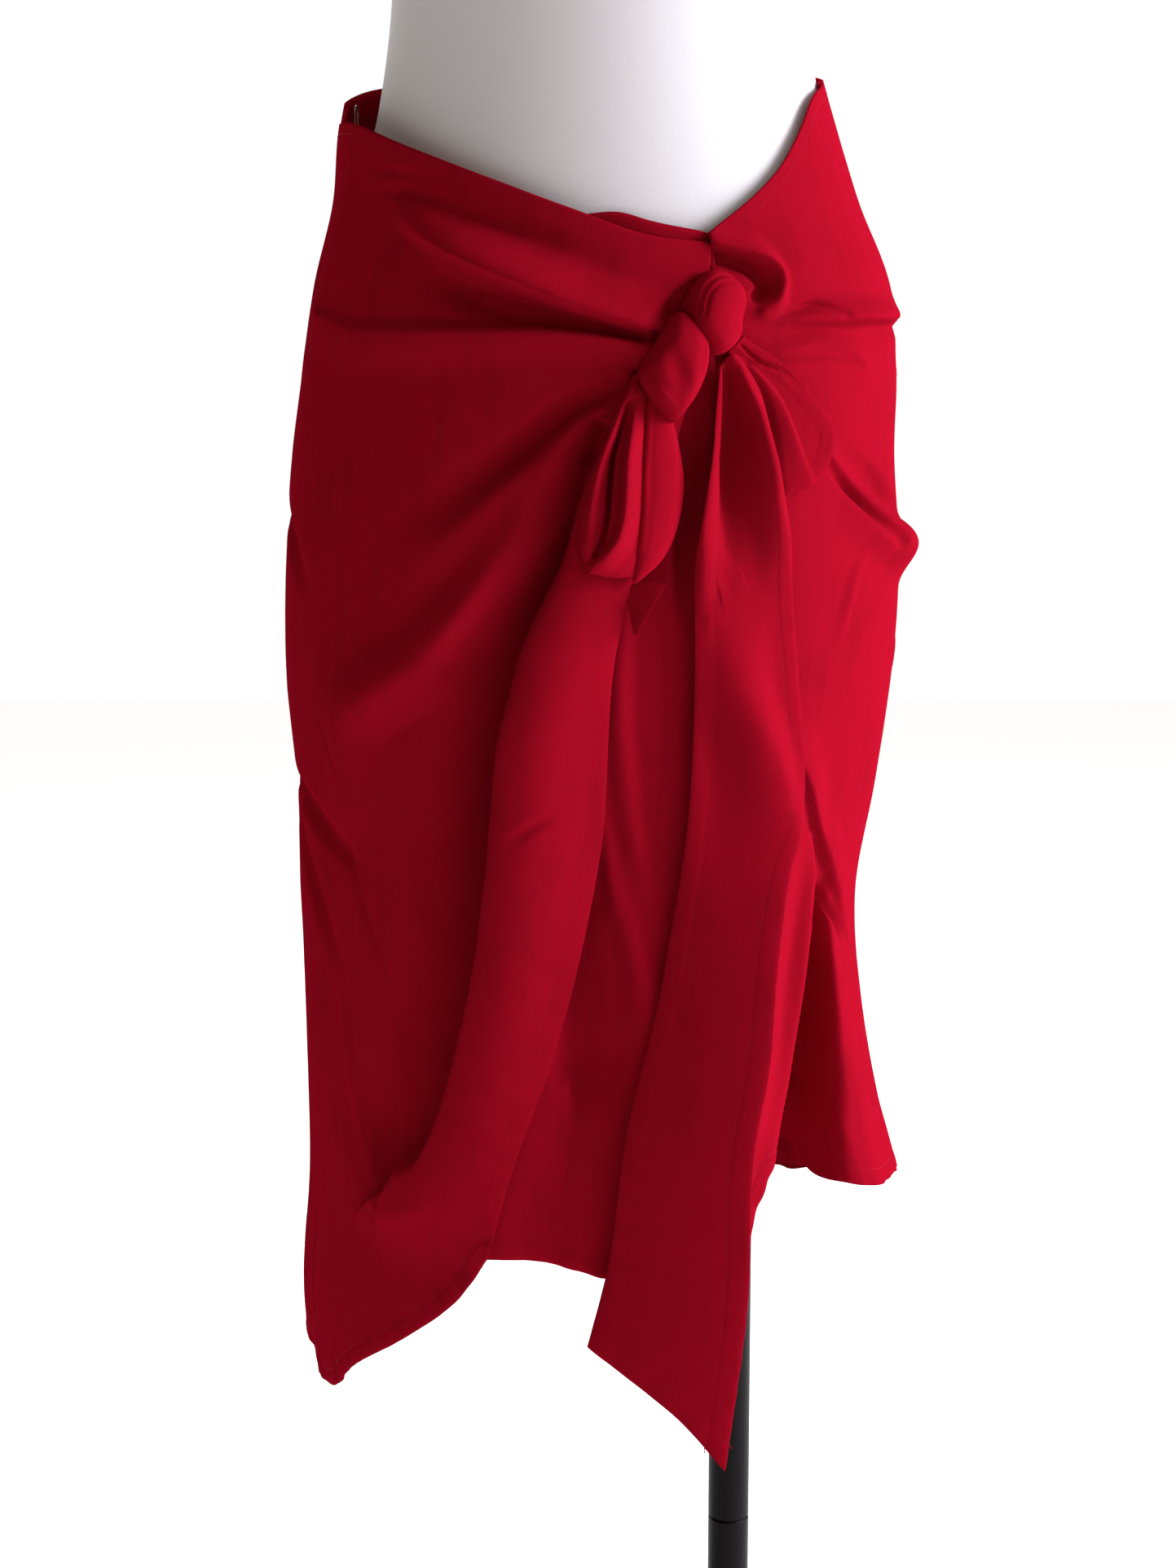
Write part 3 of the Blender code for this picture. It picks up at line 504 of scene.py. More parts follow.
def mapped_grid(columns, rows):
    """A grid in a new bmesh, with the shares u and v of each of its corners."""
    bm = bmesh.new()
    bmesh.ops.create_grid(bm, x_segments=len(columns) - 1, y_segments=len(rows) - 1, size=0.5)
    square = np.array([corner.co[:2] for corner in bm.verts]) + 0.5
    u = columns[np.round(square[:, 0] * (len(columns) - 1)).astype(int)]
    v = rows[np.round(square[:, 1] * (len(rows) - 1)).astype(int)]
    return bm, u, v


def add_cloth(name, node, edges, columns, rows, rise, wall=CLOTH_WALL):
    """A sheet between four edges (bottom, top, left, right); `rise` says how far each place stands out."""
    bm, u, v = mapped_grid(columns, rows)
    spot = inside_edges(u, v, *edges)
    out = rise(spot[:, 0], spot[:, 1], u, v) + (spot[:, 2] if spot.shape[1] == 3 else 0)
    points = skin(spot[:, 0], spot[:, 1], out)
    for corner, point in zip(bm.verts, points):
        corner.co = point * MM
    layer = bm.loops.layers.uv.new("cloth_mm")
    for face in bm.faces:
        for loop in face.loops:
            loop[layer].uv = spot[loop.vert.index, :2]
    piece = finish_piece(name, bm, satin_crepe)
    area = sum(polygon.area for polygon in piece.data.polygons)
    solidify = piece.modifiers.new("cloth_wall", "SOLIDIFY")
    solidify.thickness, solidify.offset = wall * MM, -1.0
    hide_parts(node)
    size = np.ptp(points, axis=0)
    print(f"{name}: {len(u)} points, {area:.4f} m2, {size[0]:.0f} x {size[1]:.0f} x {size[2]:.0f} mm")
    return piece


# %% What sewing does to the cloth, all in millimetres
TURNED_UP = 0.45  # the second layer of a hem
STITCH_DENT = (0.35, 0.8)  # depth and half width, and it lies this far inside the hem's top
STITCH_INSET = 0.7
ROLL = (0.8, 1.6)  # how far a hem's edge rolls in, and over what width
RIPPLE = (9.0, 17.0)  # length of a pucker along the hem, and how far up it reaches
SEAM_DENT = (0.7, 1.6)  # depth and half width


def dent(miss, half_width):
    """A soft dent's share of its depth, at distances from its line."""
    return np.exp(-((miss / half_width) ** 2))


def hem_shape(around, up, edge, pucker, seed):
    """What a hem adds to `out`: the turned-up layer, its stitches, the rolled edge and the puckers."""
    miss, _, share = nearest_on(edge, around, up)
    turned_up = TURNED_UP * (1 - ease(HEM_DEPTH - 1.0, HEM_DEPTH + 0.6, miss))
    stitched = -STITCH_DENT[0] * dent(miss - HEM_DEPTH + STITCH_INSET, STITCH_DENT[1])
    rolled = -ROLL[0] * (1 - ease(0, ROLL[1], miss))
    ripples = crumple(share * length_of(edge), miss * 0.25, RIPPLE[0], 1.0, seed) * dent(miss, RIPPLE[1])
    return turned_up + stitched + rolled + pucker * ripples


def seam_shape(around, up, *seams):
    """A sewn seam pulls the cloth in by a hair along its line."""
    return sum(-SEAM_DENT[0] * dent(nearest_on(seam, around, up)[0], SEAM_DENT[1]) for seam in seams)


# %% [markdown]
# ## Stitches
#
# The hems and the waist edge are topstitched by machine, about ten stitches to three centimetres. One
# thread is one long narrow grid that follows its line and dips under the cloth between the stitches, so
# that the dashes show and no stitch has to be placed by hand. The thread is dyed to match.

# %% Make a line of stitches
STITCH = 3.0
STITCH_STEPS = 6  # rows of the thread's grid for each stitch
THREAD_HALF = 0.2  # half its width
THREAD_RISE = 0.05  # its height over the cloth, halfway between the top of a stitch and its end
THREAD_WAVE = 0.15
THREAD_ROUND = 0.08  # its sides are this much lower than its middle
NEXT = 0.002  # the way a line runs is read this far to either side, as a share of it
thread_material, _, _ = start_material(
    "matching_thread",
    Base_Color=hex_colour("8A0A1E"),
    Roughness=0.6,
    Specular_IOR_Level=0.1,
    Specular_Tint=hex_colour("FF6080"),
)


def beside(path, inset):
    """The path moved to its left by `inset` mm, as many points, and stopping short of its ends by as much."""
    short = abs(inset) / length_of(path)
    share = np.linspace(short, 1 - short, 4 * len(path))
    line = curve_through(path, share)[:, :2]
    run = np.gradient(line, axis=0)
    run /= np.hypot(*run.T)[:, None]
    return line + inset * np.stack([-run[:, 1], run[:, 0]], axis=-1)


def add_stitches(name, path, rise):
    """Stitches along a path on the surface that `rise` describes."""
    length = length_of(path)
    bm, u, v = mapped_grid(np.linspace(0, 1, 3), np.linspace(0, 1, round(length / STITCH) * STITCH_STEPS + 1))
    line = curve_through(path, v)[:, :2]
    run = curve_through(path, v + NEXT)[:, :2] - curve_through(path, v - NEXT)[:, :2]
    run /= np.hypot(*run.T)[:, None]
    across = (2 * u - 1) * THREAD_HALF
    around, up = line[:, 0] + run[:, 1] * across, line[:, 1] - run[:, 0] * across
    wave = THREAD_RISE + THREAD_WAVE * np.cos(2 * math.pi * v * round(length / STITCH))
    out = rise(around, up) + wave - THREAD_ROUND * (2 * u - 1) ** 2
    for corner, point in zip(bm.verts, skin(around, up, out)):
        corner.co = point * MM
    finish_piece(name, bm, thread_material)
    print(f"{name}: {round(length / STITCH)} stitches over {length:.0f} mm")

# %% [markdown]
# ## The four panels
#
# The front wraps from the left side seam over to the knot and falls away in a curve like a tulip petal.
# Under it lies the other front, which shows between that curve and the hanging tie and carries on round to
# the right side seam. The weight of the knot draws everything into drapes that fan out from it, and the
# loose hem breaks into flutes.

# %% Seams and edges
SEAM_TUCK = 4.0  # at a seam the panel behind reaches this far under its neighbour
TUCK_DEPTH = 2.4
LEFT_SEAM = ((-205, 300), (-232, 560), (-246, 800), (-248, 1001))
RIGHT_SEAM = ((225, 417), (226, 620), (224, 850), (222, 1022))
FRONT_SEAM = ((60, 403), (60, 600), (59, 800), (56, 936))
OVER_HEM = ((-205, 300), (-176, 306), (-151, 325), (-102, 357), (-74, 381), (-56, 408))
OVER_WAIST = ((-248, 1001), (-192, 999), (-119, 982), (-63, 964), (-17, 948), (26, 934), (57, 931))
OVER_TULIP_EDGE = ((-56, 408), (-43, 454), (-23, 515), (-1, 621), (8, 735), (25, 800), (44, 860), (57, 931))
UNDER_HEM = ((-82, 404), (-30, 405), (2, 397), (60, 403))
UNDER_WAIST = ((-60, 950), (-17, 945), (11, 946), (26, 942), (56, 936))
UNDER_FREE_EDGE = ((-82, 404), (-80, 600), (-72, 800), (-60, 950))
RIGHT_HEM = (
    (60, 403), (72, 438), (84, 454), (104, 449), (120, 447), (127, 432), (150, 428), (185, 421), (225, 417),
)
RIGHT_WAIST = ((56, 936), (74, 946), (116, 971), (144, 991), (174, 1010), (222, 1022))
BACK_HEM = ((225, 417), (330, 392), (430, 366), (530, 344), (640, 318), (788, 300))
BACK_WAIST = ((222, 1022), (300, 1032), (400, 1036), (560, 1036), (680, 1026), (745, 1012))
HANGS_FREE = (760.0, 930.0)  # `up`: fully free below the first, held at the waist above the second
WAIST_STITCH = 6.0  # the waist's topstitching lies this far below its edge


def moved(edge, sideways):
    """An edge's points shifted round the skirt."""
    return [(around + sideways, up) for around, up in edge]


def tuck(around, up, side):
    """How a panel dips along the side that is tucked under its neighbour."""
    return -TUCK_DEPTH * (1 - ease(SEAM_TUCK - 1.0, SEAM_TUCK + 2.5, nearest_on(side, around, up)[0]))


def held(at_waist, hanging, up):
    """A distance that changes from its value at the waist to its value where the layers hang free."""
    return hanging + (at_waist - hanging) * ease(*HANGS_FREE, up)


print("hem all round:", round(sum(map(length_of, (OVER_HEM, OVER_TULIP_EDGE, RIGHT_HEM, BACK_HEM)))), "mm")

# %% [markdown]
# ### The wrapped front
#
# Drapes fan out from the knot: a full soft one along the waist, a crisp crease straight across the hip, a
# long curved one over the thigh and, lowest, the deep pleat whose edge runs down to the hem.

# %% Folds of the wrapped front
OVER_FOLDS = (
    # name, path (around, up), left and right side (reach at start, at end, crispness if not round), heights
    ("waist_line_1", ((-158, 973), (-113, 967), (-88, 962)), (4, 4), (4, 4, 0.3), (0, -1.6, 0)),
    ("waist_line_2", ((-150, 961), (-100, 954), (-76, 945)), (4, 4), (4, 4, 0.3), (0, -1.6, 0)),
    ("waist_trough", ((8, 920), (-16, 927), (-36, 933), (-58, 940), (-82, 946), (-123, 961)),
     (7, 8), (10, 12), (0, -4, -2)),
    ("waist_drape", ((22, 887), (4, 893), (-14, 899), (-32, 907), (-51, 915), (-72, 924), (-95, 935),
     (-128, 951)), (6, 9, 0.5), (24, 20), (10, 18, 0)),
    ("drape_shade", ((18, 883), (-12, 891), (-35, 897), (-62, 905), (-98, 920)),
     (5, 18), (4, 9), (-3, -10, -1)),
    ("hip_crease", ((22, 878), (-15, 885), (-60, 887), (-110, 888), (-152, 891), (-184, 898)),
     (16, 34), (4, 5, 0.9), (8, 6, 3)),
    ("knot_pit", ((46, 907), (40, 901), (34, 895), (26, 888)), (8, 8), (9, 10), (-6, -9, -4)),
    ("upper_valley", ((16, 863), (0, 853), (-15, 846), (-33, 829), (-52, 813), (-68, 799), (-85, 784)),
     (5, 12), (8, 26), (-5, -9, 0)),
    ("thigh_fold", ((11, 862), (0, 846), (-14, 833), (-28, 819), (-42, 807), (-56, 792), (-80, 772),
     (-105, 745)), (8, 40), (8, 32, 0.2), (5, 9, 1)),
    ("thigh_hook", ((-16, 815), (-30, 790), (-45, 766), (-64, 739), (-86, 714), (-108, 701), (-128, 687),
     (-138, 645)), (12, 28), (16, 34), (4, 17, 4)),
    ("pleat", ((2, 832), (-5, 808), (-13, 772), (-23, 747), (-30, 727), (-35, 706), (-40, 686), (-45, 644),
     (-49, 602), (-55, 559), (-65, 516), (-76, 481), (-89, 457), (-103, 446)),
     (52, 66, -0.9), (8, 12, 0.2), (8, 18, 13)),
    ("left_line_1", ((-170, 690), (-156, 671), (-147, 660), (-137, 636)), (3, 3), (4, 4, 0.3), (0, -1.6, 0)),
    ("left_line_2", ((-160, 640), (-139, 604), (-127, 579), (-107, 538)), (3, 3), (4, 4, 0.3), (0, -1.8, 0)),
    ("left_line_3", ((-158, 560), (-149, 500), (-141, 457), (-129, 433), (-111, 423), (-88, 432)),
     (8, 12), (8, 8), (0, 1.8, 1)),
    ("pleat_nick", ((-42, 628), (-30, 638), (-18, 646)), (4, 4), (5, 5), (0, -1.6, 0)),
)
OVER_RISES = (-170.0, -95.0)  # `around`: from the side seam to where it lies on the layer under it
OVER_LIFT = (2.6, 3.8)  # at the waist, and hanging free
OVER_CRUMPLES = ((0.35, 34, 2.0, 1.7), (0.12, 11, 1.6, 5.2))
TULIP_HEM = 0.4  # the hem of the curved edge is narrow, and shows this much of a full hem's shape


def over_rise(around, up, *_):
    out = held(*OVER_LIFT, up) * ease(*OVER_RISES, around) + fold_heights(around, up, OVER_FOLDS)
    out += hem_shape(around, up, OVER_HEM, pucker=1.8, seed=3.1)
    out += TULIP_HEM * hem_shape(around, up, OVER_TULIP_EDGE[:6], pucker=3, seed=5.3)
    return out + seam_shape(around, up, LEFT_SEAM) + crumples(around, up, OVER_CRUMPLES)


# %% Make the wrapped front
over_panel = add_cloth(
    "over_panel",
    "front_over",
    (OVER_HEM, OVER_WAIST, LEFT_SEAM, OVER_TULIP_EDGE),
    grid_lines(count=125, length=300, hem_high=True),
    grid_lines(count=370, length=640, hem_low=True),
    over_rise,
)
add_stitches("hem_stitches_over", beside(OVER_HEM, HEM_DEPTH), over_rise)
add_stitches("hem_stitches_tulip", beside(OVER_TULIP_EDGE[:7], HEM_DEPTH), over_rise)
add_stitches("waist_stitches_over", beside(OVER_WAIST, -WAIST_STITCH), over_rise)

# %% [markdown]
# ### The front under it
#
# Only a slip of it shows. It's pulled up to the waist under the knot, where it gathers, and hangs in narrow
# streaks.

# %% The front under it
UNDER_FOLDS = (
    ("foot", ((-66, 420), (-58, 454), (-42, 515), (-24, 600), (-12, 680), (-4, 760)),
     (20, 16), (42, 24), (9, 8, 2)),
    ("valley", ((0, 630), (-2, 616), (-5, 599), (-10, 586), (-15, 565), (-18, 544), (-17, 510)),
     (4, 34, 0.5), (8, 14), (-1, -8, -8)),
    ("wedge", ((0, 621), (7, 600), (14, 579), (21, 557), (26, 518), (28, 470)), (14, 24), (4, 30), (1, 5, 4)),
    ("streak", ((14, 800), (11, 742), (9, 704), (11, 671), (15, 637), (23, 608), (32, 578)),
     (8, 10), (9, 12), (1, 3, 1)),
    ("hollow", ((47, 868), (46, 840), (43, 810), (41, 775), (41, 735)), (7, 7), (8, 9), (-6, -10, 0)),
)
UNDER_DIVES = (-10.0, 56.0)  # `around`: from under the over-panel to the front seam
UNDER_DROP = (4.0, 4.5)  # at the waist, and hanging free
UNDER_CRUMPLES = ((0.4, 26, 2.4, 2.3), (0.12, 10, 1.6, 6.6))
under_side = moved(FRONT_SEAM, SEAM_TUCK)


def under_rise(around, up, *_):
    out = -held(*UNDER_DROP, up) * (1 - ease(*UNDER_DIVES, around)) + fold_heights(around, up, UNDER_FOLDS)
    out += hem_shape(around, up, UNDER_HEM, pucker=1.6, seed=8.4) + tuck(around, up, under_side)
    return out + crumples(around, up, UNDER_CRUMPLES)


under_panel = add_cloth(
    "under_panel",
    "front_under",
    ([*UNDER_HEM[:-1], under_side[0]], [*UNDER_WAIST[:-1], under_side[-1]], UNDER_FREE_EDGE, under_side),
    grid_lines(count=80, length=130),
    grid_lines(count=240, length=540, hem_low=True),
    under_rise,
)
add_stitches("hem_stitches_under", beside(UNDER_HEM, HEM_DEPTH), under_rise)

# %% [markdown]
# ### The right side of the front
#
# It's pulled tight across the hip into two tucks, its top edge rolls over at the knot, and a fold from
# under the tie runs down to the side seam, with a deep flute in its shade.

# %% The right side of the front
RIGHT_FOLDS = (
    ("mouth", ((52, 925), (61, 924), (69, 922), (78, 919), (84, 914), (86, 909), (82, 904)),
     (5, 5), (6, 6), (-8, -12, -6)),
    ("lip", ((51, 932), (66, 928), (79, 926), (89, 922), (94, 916), (94, 909), (90, 902), (83, 898)),
     (16, 8), (4, 4, 0.6), (5, 9, 3)),
    ("hip_tuck", ((70, 889), (91, 892.5), (112, 893), (136, 894.5), (179, 896), (215, 897)),
     (16, 18), (3, 3, 0.6), (2, 6, 1)),
    ("hip_spot", ((92, 896), (106, 899), (120, 901), (134, 897)), (3, 4, 0.3), (4, 5), (-1, -6, -2)),
    ("soft_tuck", ((84, 877), (103, 879.5), (122, 881.5), (138, 880), (152, 876), (162, 871)),
     (9, 9), (3, 4, 0.5), (1, 4, 1.5)),
    ("hip_line", ((114, 832), (123, 825), (134, 817), (147, 806), (166, 791), (187, 779)),
     (4, 5, 0.4), (6, 7), (-7, -9, -4)),
    ("drape_lip", ((104, 668), (112, 655), (123, 635), (136, 620), (151, 603), (168, 586), (184, 566)),
     (24, 28), (2.6, 4, 0.5), (4, 6.5, 2)),
    ("drape_lip_2", ((140, 596), (153, 586), (166, 576), (178, 562)), (4, 4), (3, 4), (0, -6, -2)),
    ("thigh_line", ((165, 776), (150, 762), (142, 745), (135, 722)), (6, 6), (8, 8), (0, 2, 0)),
)
RIGHT_CRUMPLES = ((0.35, 30, 2.0, 3.9), (0.12, 11, 1.6, 9.2))


def right_rise(around, up, *_):
    out = fold_heights(around, up, RIGHT_FOLDS) + hem_shape(around, up, RIGHT_HEM, pucker=0.8, seed=4.9)
    return out + seam_shape(around, up, FRONT_SEAM, RIGHT_SEAM) + crumples(around, up, RIGHT_CRUMPLES)


right_panel = add_cloth(
    "right_panel",
    "front_right",
    (RIGHT_HEM, RIGHT_WAIST, FRONT_SEAM, RIGHT_SEAM),
    grid_lines(count=112, length=165),
    grid_lines(count=410, length=560, hem_low=True),
    right_rise,
)
add_stitches("hem_stitches_right", beside(RIGHT_HEM, HEM_DEPTH), right_rise)
add_stitches("waist_stitches_right", beside(RIGHT_WAIST, -WAIST_STITCH), right_rise)

# %% [markdown]
# ### The back
#
# It isn't in the photograph. The flat back of a wrap skirt hangs from the seat in a few soft flutes that
# grow toward the hem, and the hem falls evenly from the short right side to the long left one.

# %% The back
back_near = moved(RIGHT_SEAM, -SEAM_TUCK)
back_far = moved([*moved(LEFT_SEAM[:-1], WHOLE_TURN), BACK_WAIST[-1]], SEAM_TUCK)
BACK_CRUMPLES = ((0.35, 34, 2.2, 4.4), (0.12, 12, 1.6, 2.9))


def back_rise(around, up, *_):
    out = hem_shape(around, up, BACK_HEM, pucker=0.9, seed=7.7)
    out += sum(tuck(around, up, side) for side in (back_near, back_far))
    return out + crumples(around, up, BACK_CRUMPLES)


back_panel = add_cloth(
    "back_panel",
    "skirt_back",
    (
        [back_near[0], *BACK_HEM[1:-1], back_far[0]],
        [back_near[-1], *BACK_WAIST[1:-1], back_far[-1]],
        back_near,
        back_far,
    ),
    grid_lines(count=160, length=560),
    grid_lines(count=190, length=660, hem_low=True),
    back_rise,
)
add_stitches("hem_stitches_back", beside(BACK_HEM, HEM_DEPTH), back_rise)
add_stitches("waist_stitches_back", beside(BACK_WAIST, -WAIST_STITCH), back_rise)

# %% [markdown]
# ## The tie
#
# Each front ends in a tie, and the two are knotted into a half bow. What shows is the long tail, the fanned
# short end, the two legs of the loop with a dark slot between them, a small tip below the loop, and the two
# bands that wrap the knot. Tail and short end are flat hemmed cloth. The rest is the same cloth bunched:
# each piece is drawn as a sheet whose sides curve under, full in the middle, with creases that run the way
# it's pulled.

# %% The long tail
# (up, how far its left or right edge lies out of the smooth skirt)
TAIL_LEFT_OUT = ((300, 5), (640, 8), (740, 8), (790, 11), (870, 6))
TAIL_RIGHT_OUT = ((300, 28), (400, 34), (590, 34), (640, 22), (690, 9), (790, 12), (870, 6))
TAIL_TOP = ((56, 868), (61, 875), (66, 873))
TAIL_END = ((-7, 364), (11, 350), (31, 331), (50, 303))
TAIL_LEFT = (
    (-7, 364), (2, 403), (12, 476), (33, 559), (42, 622), (44, 697), (43, 742), (42, 775), (45, 800),
    (50, 826), (53, 848), (56, 868),
)
TAIL_RIGHT = (
    (50, 303), (56, 365), (59, 406), (61, 440), (65, 474), (74, 515), (80, 557), (84, 580), (90, 613),
    (97, 636), (103, 664), (103, 690), (100, 715), (95, 741), (88, 787), (81, 832), (76, 860), (67, 873),
)
TAIL_FOLDS = (
    ("left_ridge", ((55, 864), (52, 848), (49, 826), (46, 803), (44, 790), (44, 775), (46, 745)),
     (8, 16), (3, 4), (3, 8, 1)),
    ("valley", ((60, 866), (60, 840), (59, 824), (59, 807), (59, 791), (60, 779), (64, 769)),
     (8, 18), (4, 8), (-4, -9, -1)),
    ("right_ridge", ((62, 874), (66, 864), (72, 848), (75, 832), (78, 816), (80, 799), (83, 783), (86, 764)),
     (8, 14), (6, 16), (4, 12, 1)),
    ("main_ridge", ((58, 740), (68, 702), (82, 668), (90, 638), (95, 614)), (28, 12), (20, 40), (2, 11, 1)),
)
TAIL_CRUMPLES = ((0.3, 24, 2.4, 7.9), (0.1, 9, 1.6, 3.3))
TIE_HEM = 0.6  # the tie's hems are narrow, and show this much of a full hem's shape
EDGE_POINTS = 200  # an edge is read at any height from this many of its points


def tail_rise(around, up, *_):
    edges = [curve_through(edge, np.linspace(0, 1, EDGE_POINTS)) for edge in (TAIL_LEFT, TAIL_RIGHT)]
    left, right = [np.interp(up, edge[:, 1], edge[:, 0]) for edge in edges]
    left_out, right_out = [smooth(*zip(*rows), up) for rows in (TAIL_LEFT_OUT, TAIL_RIGHT_OUT)]
    share = np.clip((around - left) / (right - left), 0, 1)
    out = left_out + (right_out - left_out) * share + fold_heights(around, up, TAIL_FOLDS)
    for edge in (TAIL_LEFT, TAIL_RIGHT, TAIL_END):
        out += TIE_HEM * hem_shape(around, up, edge, pucker=0.8, seed=6.1)
    out -= fold_heights(around, up, SKIN_FOLDS)  # it hangs straight, and doesn't follow the folds under it
    return out + crumples(around, up, TAIL_CRUMPLES)


tail = add_cloth(
    "tail",
    "tie_long_tail",
    (TAIL_END, TAIL_TOP, TAIL_LEFT, TAIL_RIGHT),
    grid_lines(count=80, length=62, hem_low=True, hem_high=True),
    grid_lines(count=340, length=560, hem_low=True),
    tail_rise,
)
add_stitches("tail_stitches_left", beside(TAIL_LEFT[:-1], -HEM_DEPTH), tail_rise)
add_stitches("tail_stitches_right", beside(TAIL_RIGHT[:-1], HEM_DEPTH), tail_rise)
add_stitches("tail_stitches_end", beside(TAIL_END, HEM_DEPTH), tail_rise)

# %% The short end
SHORT_LIFT = (4.4, 4.0, 10.0)  # at the knot, at the left and at the right of its free end
SHORT_TOP = ((62, 876), (66, 880), (70, 884))
SHORT_END = ((86, 794), (98, 805), (109, 808), (119, 819), (122, 832))
SHORT_LEFT = ((86, 794), (82, 815), (77, 840), (70, 862), (62, 876))
SHORT_RIGHT = ((122, 832), (120, 841), (112, 850), (99, 864), (87, 873), (70, 884))
SHORT_FOLDS = (
    ("fan_line", ((74, 868), (87, 854), (99, 830), (107, 812)), (2.5, 4), (6, 12), (1, 2.2, 1)),
    ("fan_top", ((69, 879), (79, 871), (91, 867), (102, 859)), (1.6, 2), (2, 2), (-1, -2.2, -0.6)),
    ("fan_shade", ((72, 868), (80, 850), (86, 830), (90, 806)), (6, 6), (4, 5), (-1, -2.4, -1)),
)
SHORT_CRUMPLES = ((0.2, 14, 2.0, 4.1),)


def short_rise(around, up, u, v):
    knot, left, right = SHORT_LIFT
    out = knot * v + (left + (right - left) * u) * (1 - v) + fold_heights(around, up, SHORT_FOLDS)
    for edge in (SHORT_RIGHT, SHORT_END):
        out += TIE_HEM * hem_shape(around, up, edge, pucker=0.4, seed=2.7)
    return out + crumples(around, up, SHORT_CRUMPLES)


short_end = add_cloth(
    "short_end",
    "tie_short_end",
    (SHORT_END, SHORT_TOP, SHORT_LEFT, SHORT_RIGHT),
    grid_lines(count=80, length=40, hem_high=True),
    grid_lines(count=110, length=80, hem_low=True),
    short_rise,
)

# %% [markdown]
# ### The knot and the loop
#
# The points of these edges have a third number, how far out they lie: low where a band goes under its
# neighbour.

# %% Bunched bands
WRINKLE_SIZE = (7, 2.5)  # width in millimetres, and stretch


def add_band(name, node, edges, counts, crown, squareness, folds, wrinkle, seed):
    """Bunched cloth that bulges by `crown` between four edges; a squareness of 2 is round, more is boxy."""

    def rise(around, up, u, v):
        across = 1 - np.abs(2 * u - 1) ** squareness[0]
        along = 1 - np.abs(2 * v - 1) ** squareness[1]
        full = crown * np.clip(across, 0, 1) ** 0.5 * np.clip(along, 0, 1) ** 0.5
        return full + fold_heights(around, up, folds) + wrinkle * crumple(around, up, *WRINKLE_SIZE, seed)

    return add_cloth(name, node, edges, round_lines(counts[0]), round_lines(counts[1]), rise)


KNOT_LOWER_FOLDS = (
    ("inner_crease", ((26, 882), (32, 868), (38, 852)), (5, 6), (7, 8), (-0.6, -1.3, -0.4)),
    ("upper_crease", ((30, 884), (24, 878), (20, 868)), (4, 4), (3, 4, 0.3), (-1, -1.6, 0)),
    ("lower_rim", ((19, 864), (24, 855), (31, 847)), (4, 4), (3, 3, 0.5), (0, 1.4, 0)),
    ("outer_rim", ((40, 892), (46, 884), (46, 872), (43, 860)), (3, 3, 0.5), (3, 3), (0, 1.6, 0)),
)
knot_lower = add_band(
    "knot_lower_band",
    "knot_lower",
    (
        ((28, 842, 12), (32, 840.5, 11), (36, 845, 12)),
        ((32, 893, 8), (37, 896, 7), (42, 892, 8)),
        ((28, 842, 12), (20, 853, 10), (16, 863, 9), (20, 874, 9), (26, 883, 8), (32, 893, 8)),
        ((36, 845, 12), (43, 856, 12), (48, 868, 10), (48.5, 880, 8), (42, 892, 8)),
    ),
    counts=(44, 54),
    crown=17,
    squareness=(2.6, 3.6),
    folds=KNOT_LOWER_FOLDS,
    wrinkle=0.5,
    seed=1.1,
)

KNOT_UPPER_FOLDS = (
    ("ring_1", ((42, 892), (43, 898), (46, 905), (51, 911), (58, 914), (66, 912.5), (71, 908)),
     (1.6, 1.6), (1.4, 1.4, 0.3), (-1, -2, -1)),
    ("ring_2", ((44.5, 893), (46, 899), (49, 905.5), (54, 909.5), (60, 910.5), (66, 908.5), (70, 903)),
     (1.2, 1.2), (1.2, 1.2), (-1, -1.4, -1)),
    ("notch", ((74, 894), (69, 891), (65, 890)), (3, 3), (3, 3, 0.3), (-3, -1.6, 0)),
)
knot_upper = add_band(
    "knot_upper_band",
    "knot_upper",
    (
        ((46, 878, 5), (53, 874, 9), (61, 877, 8)),
        ((38, 898, 4), (44, 909, 4), (55, 917, 3), (65, 915, 2), (72, 907, 3)),
        ((46, 878, 5), (40, 888, 9), (38, 898, 4)),
        ((61, 877, 8), (66, 884, 4), (67.5, 891, 3), (71, 899, 2), (72, 907, 3)),
    ),
    counts=(60, 60),
    crown=16,
    squareness=(3.0, 2.8),
    folds=KNOT_UPPER_FOLDS,
    wrinkle=0.3,
    seed=2.2,
)

LOOP_FOLDS = (
    ("near_edge", ((20, 850), (18, 824), (17, 800), (15, 778)), (4, 4), (3, 3), (1, 1.5, 1)),
    ("side_crease", ((31, 846), (35, 826), (35, 806), (31, 788)), (1.6, 1.6), (2, 2), (-0.4, -0.9, 0)),
)
loop_front = add_band(
    "loop_front_leg",
    "tie_loop",
    (
        ((13, 761, 16), (14.5, 760.5, 15), (16, 762, 14)),
        ((19, 856, 10), (23, 858, 9), (27, 855, 8)),
        ((13, 761, 16), (14.5, 778, 16), (16, 797, 16), (16.5, 815, 15), (18, 838, 12), (19, 856, 10)),
        (
            (16, 762, 14), (25, 770, 12), (32, 782, 10), (36, 795, 9), (38, 812, 8), (36, 828, 8),
            (33, 841, 8), (27, 855, 8),
        ),
    ),
    counts=(46, 80),
    crown=7,
    squareness=(2.6, 5.0),
    folds=LOOP_FOLDS,
    wrinkle=0.3,
    seed=3.3,
)

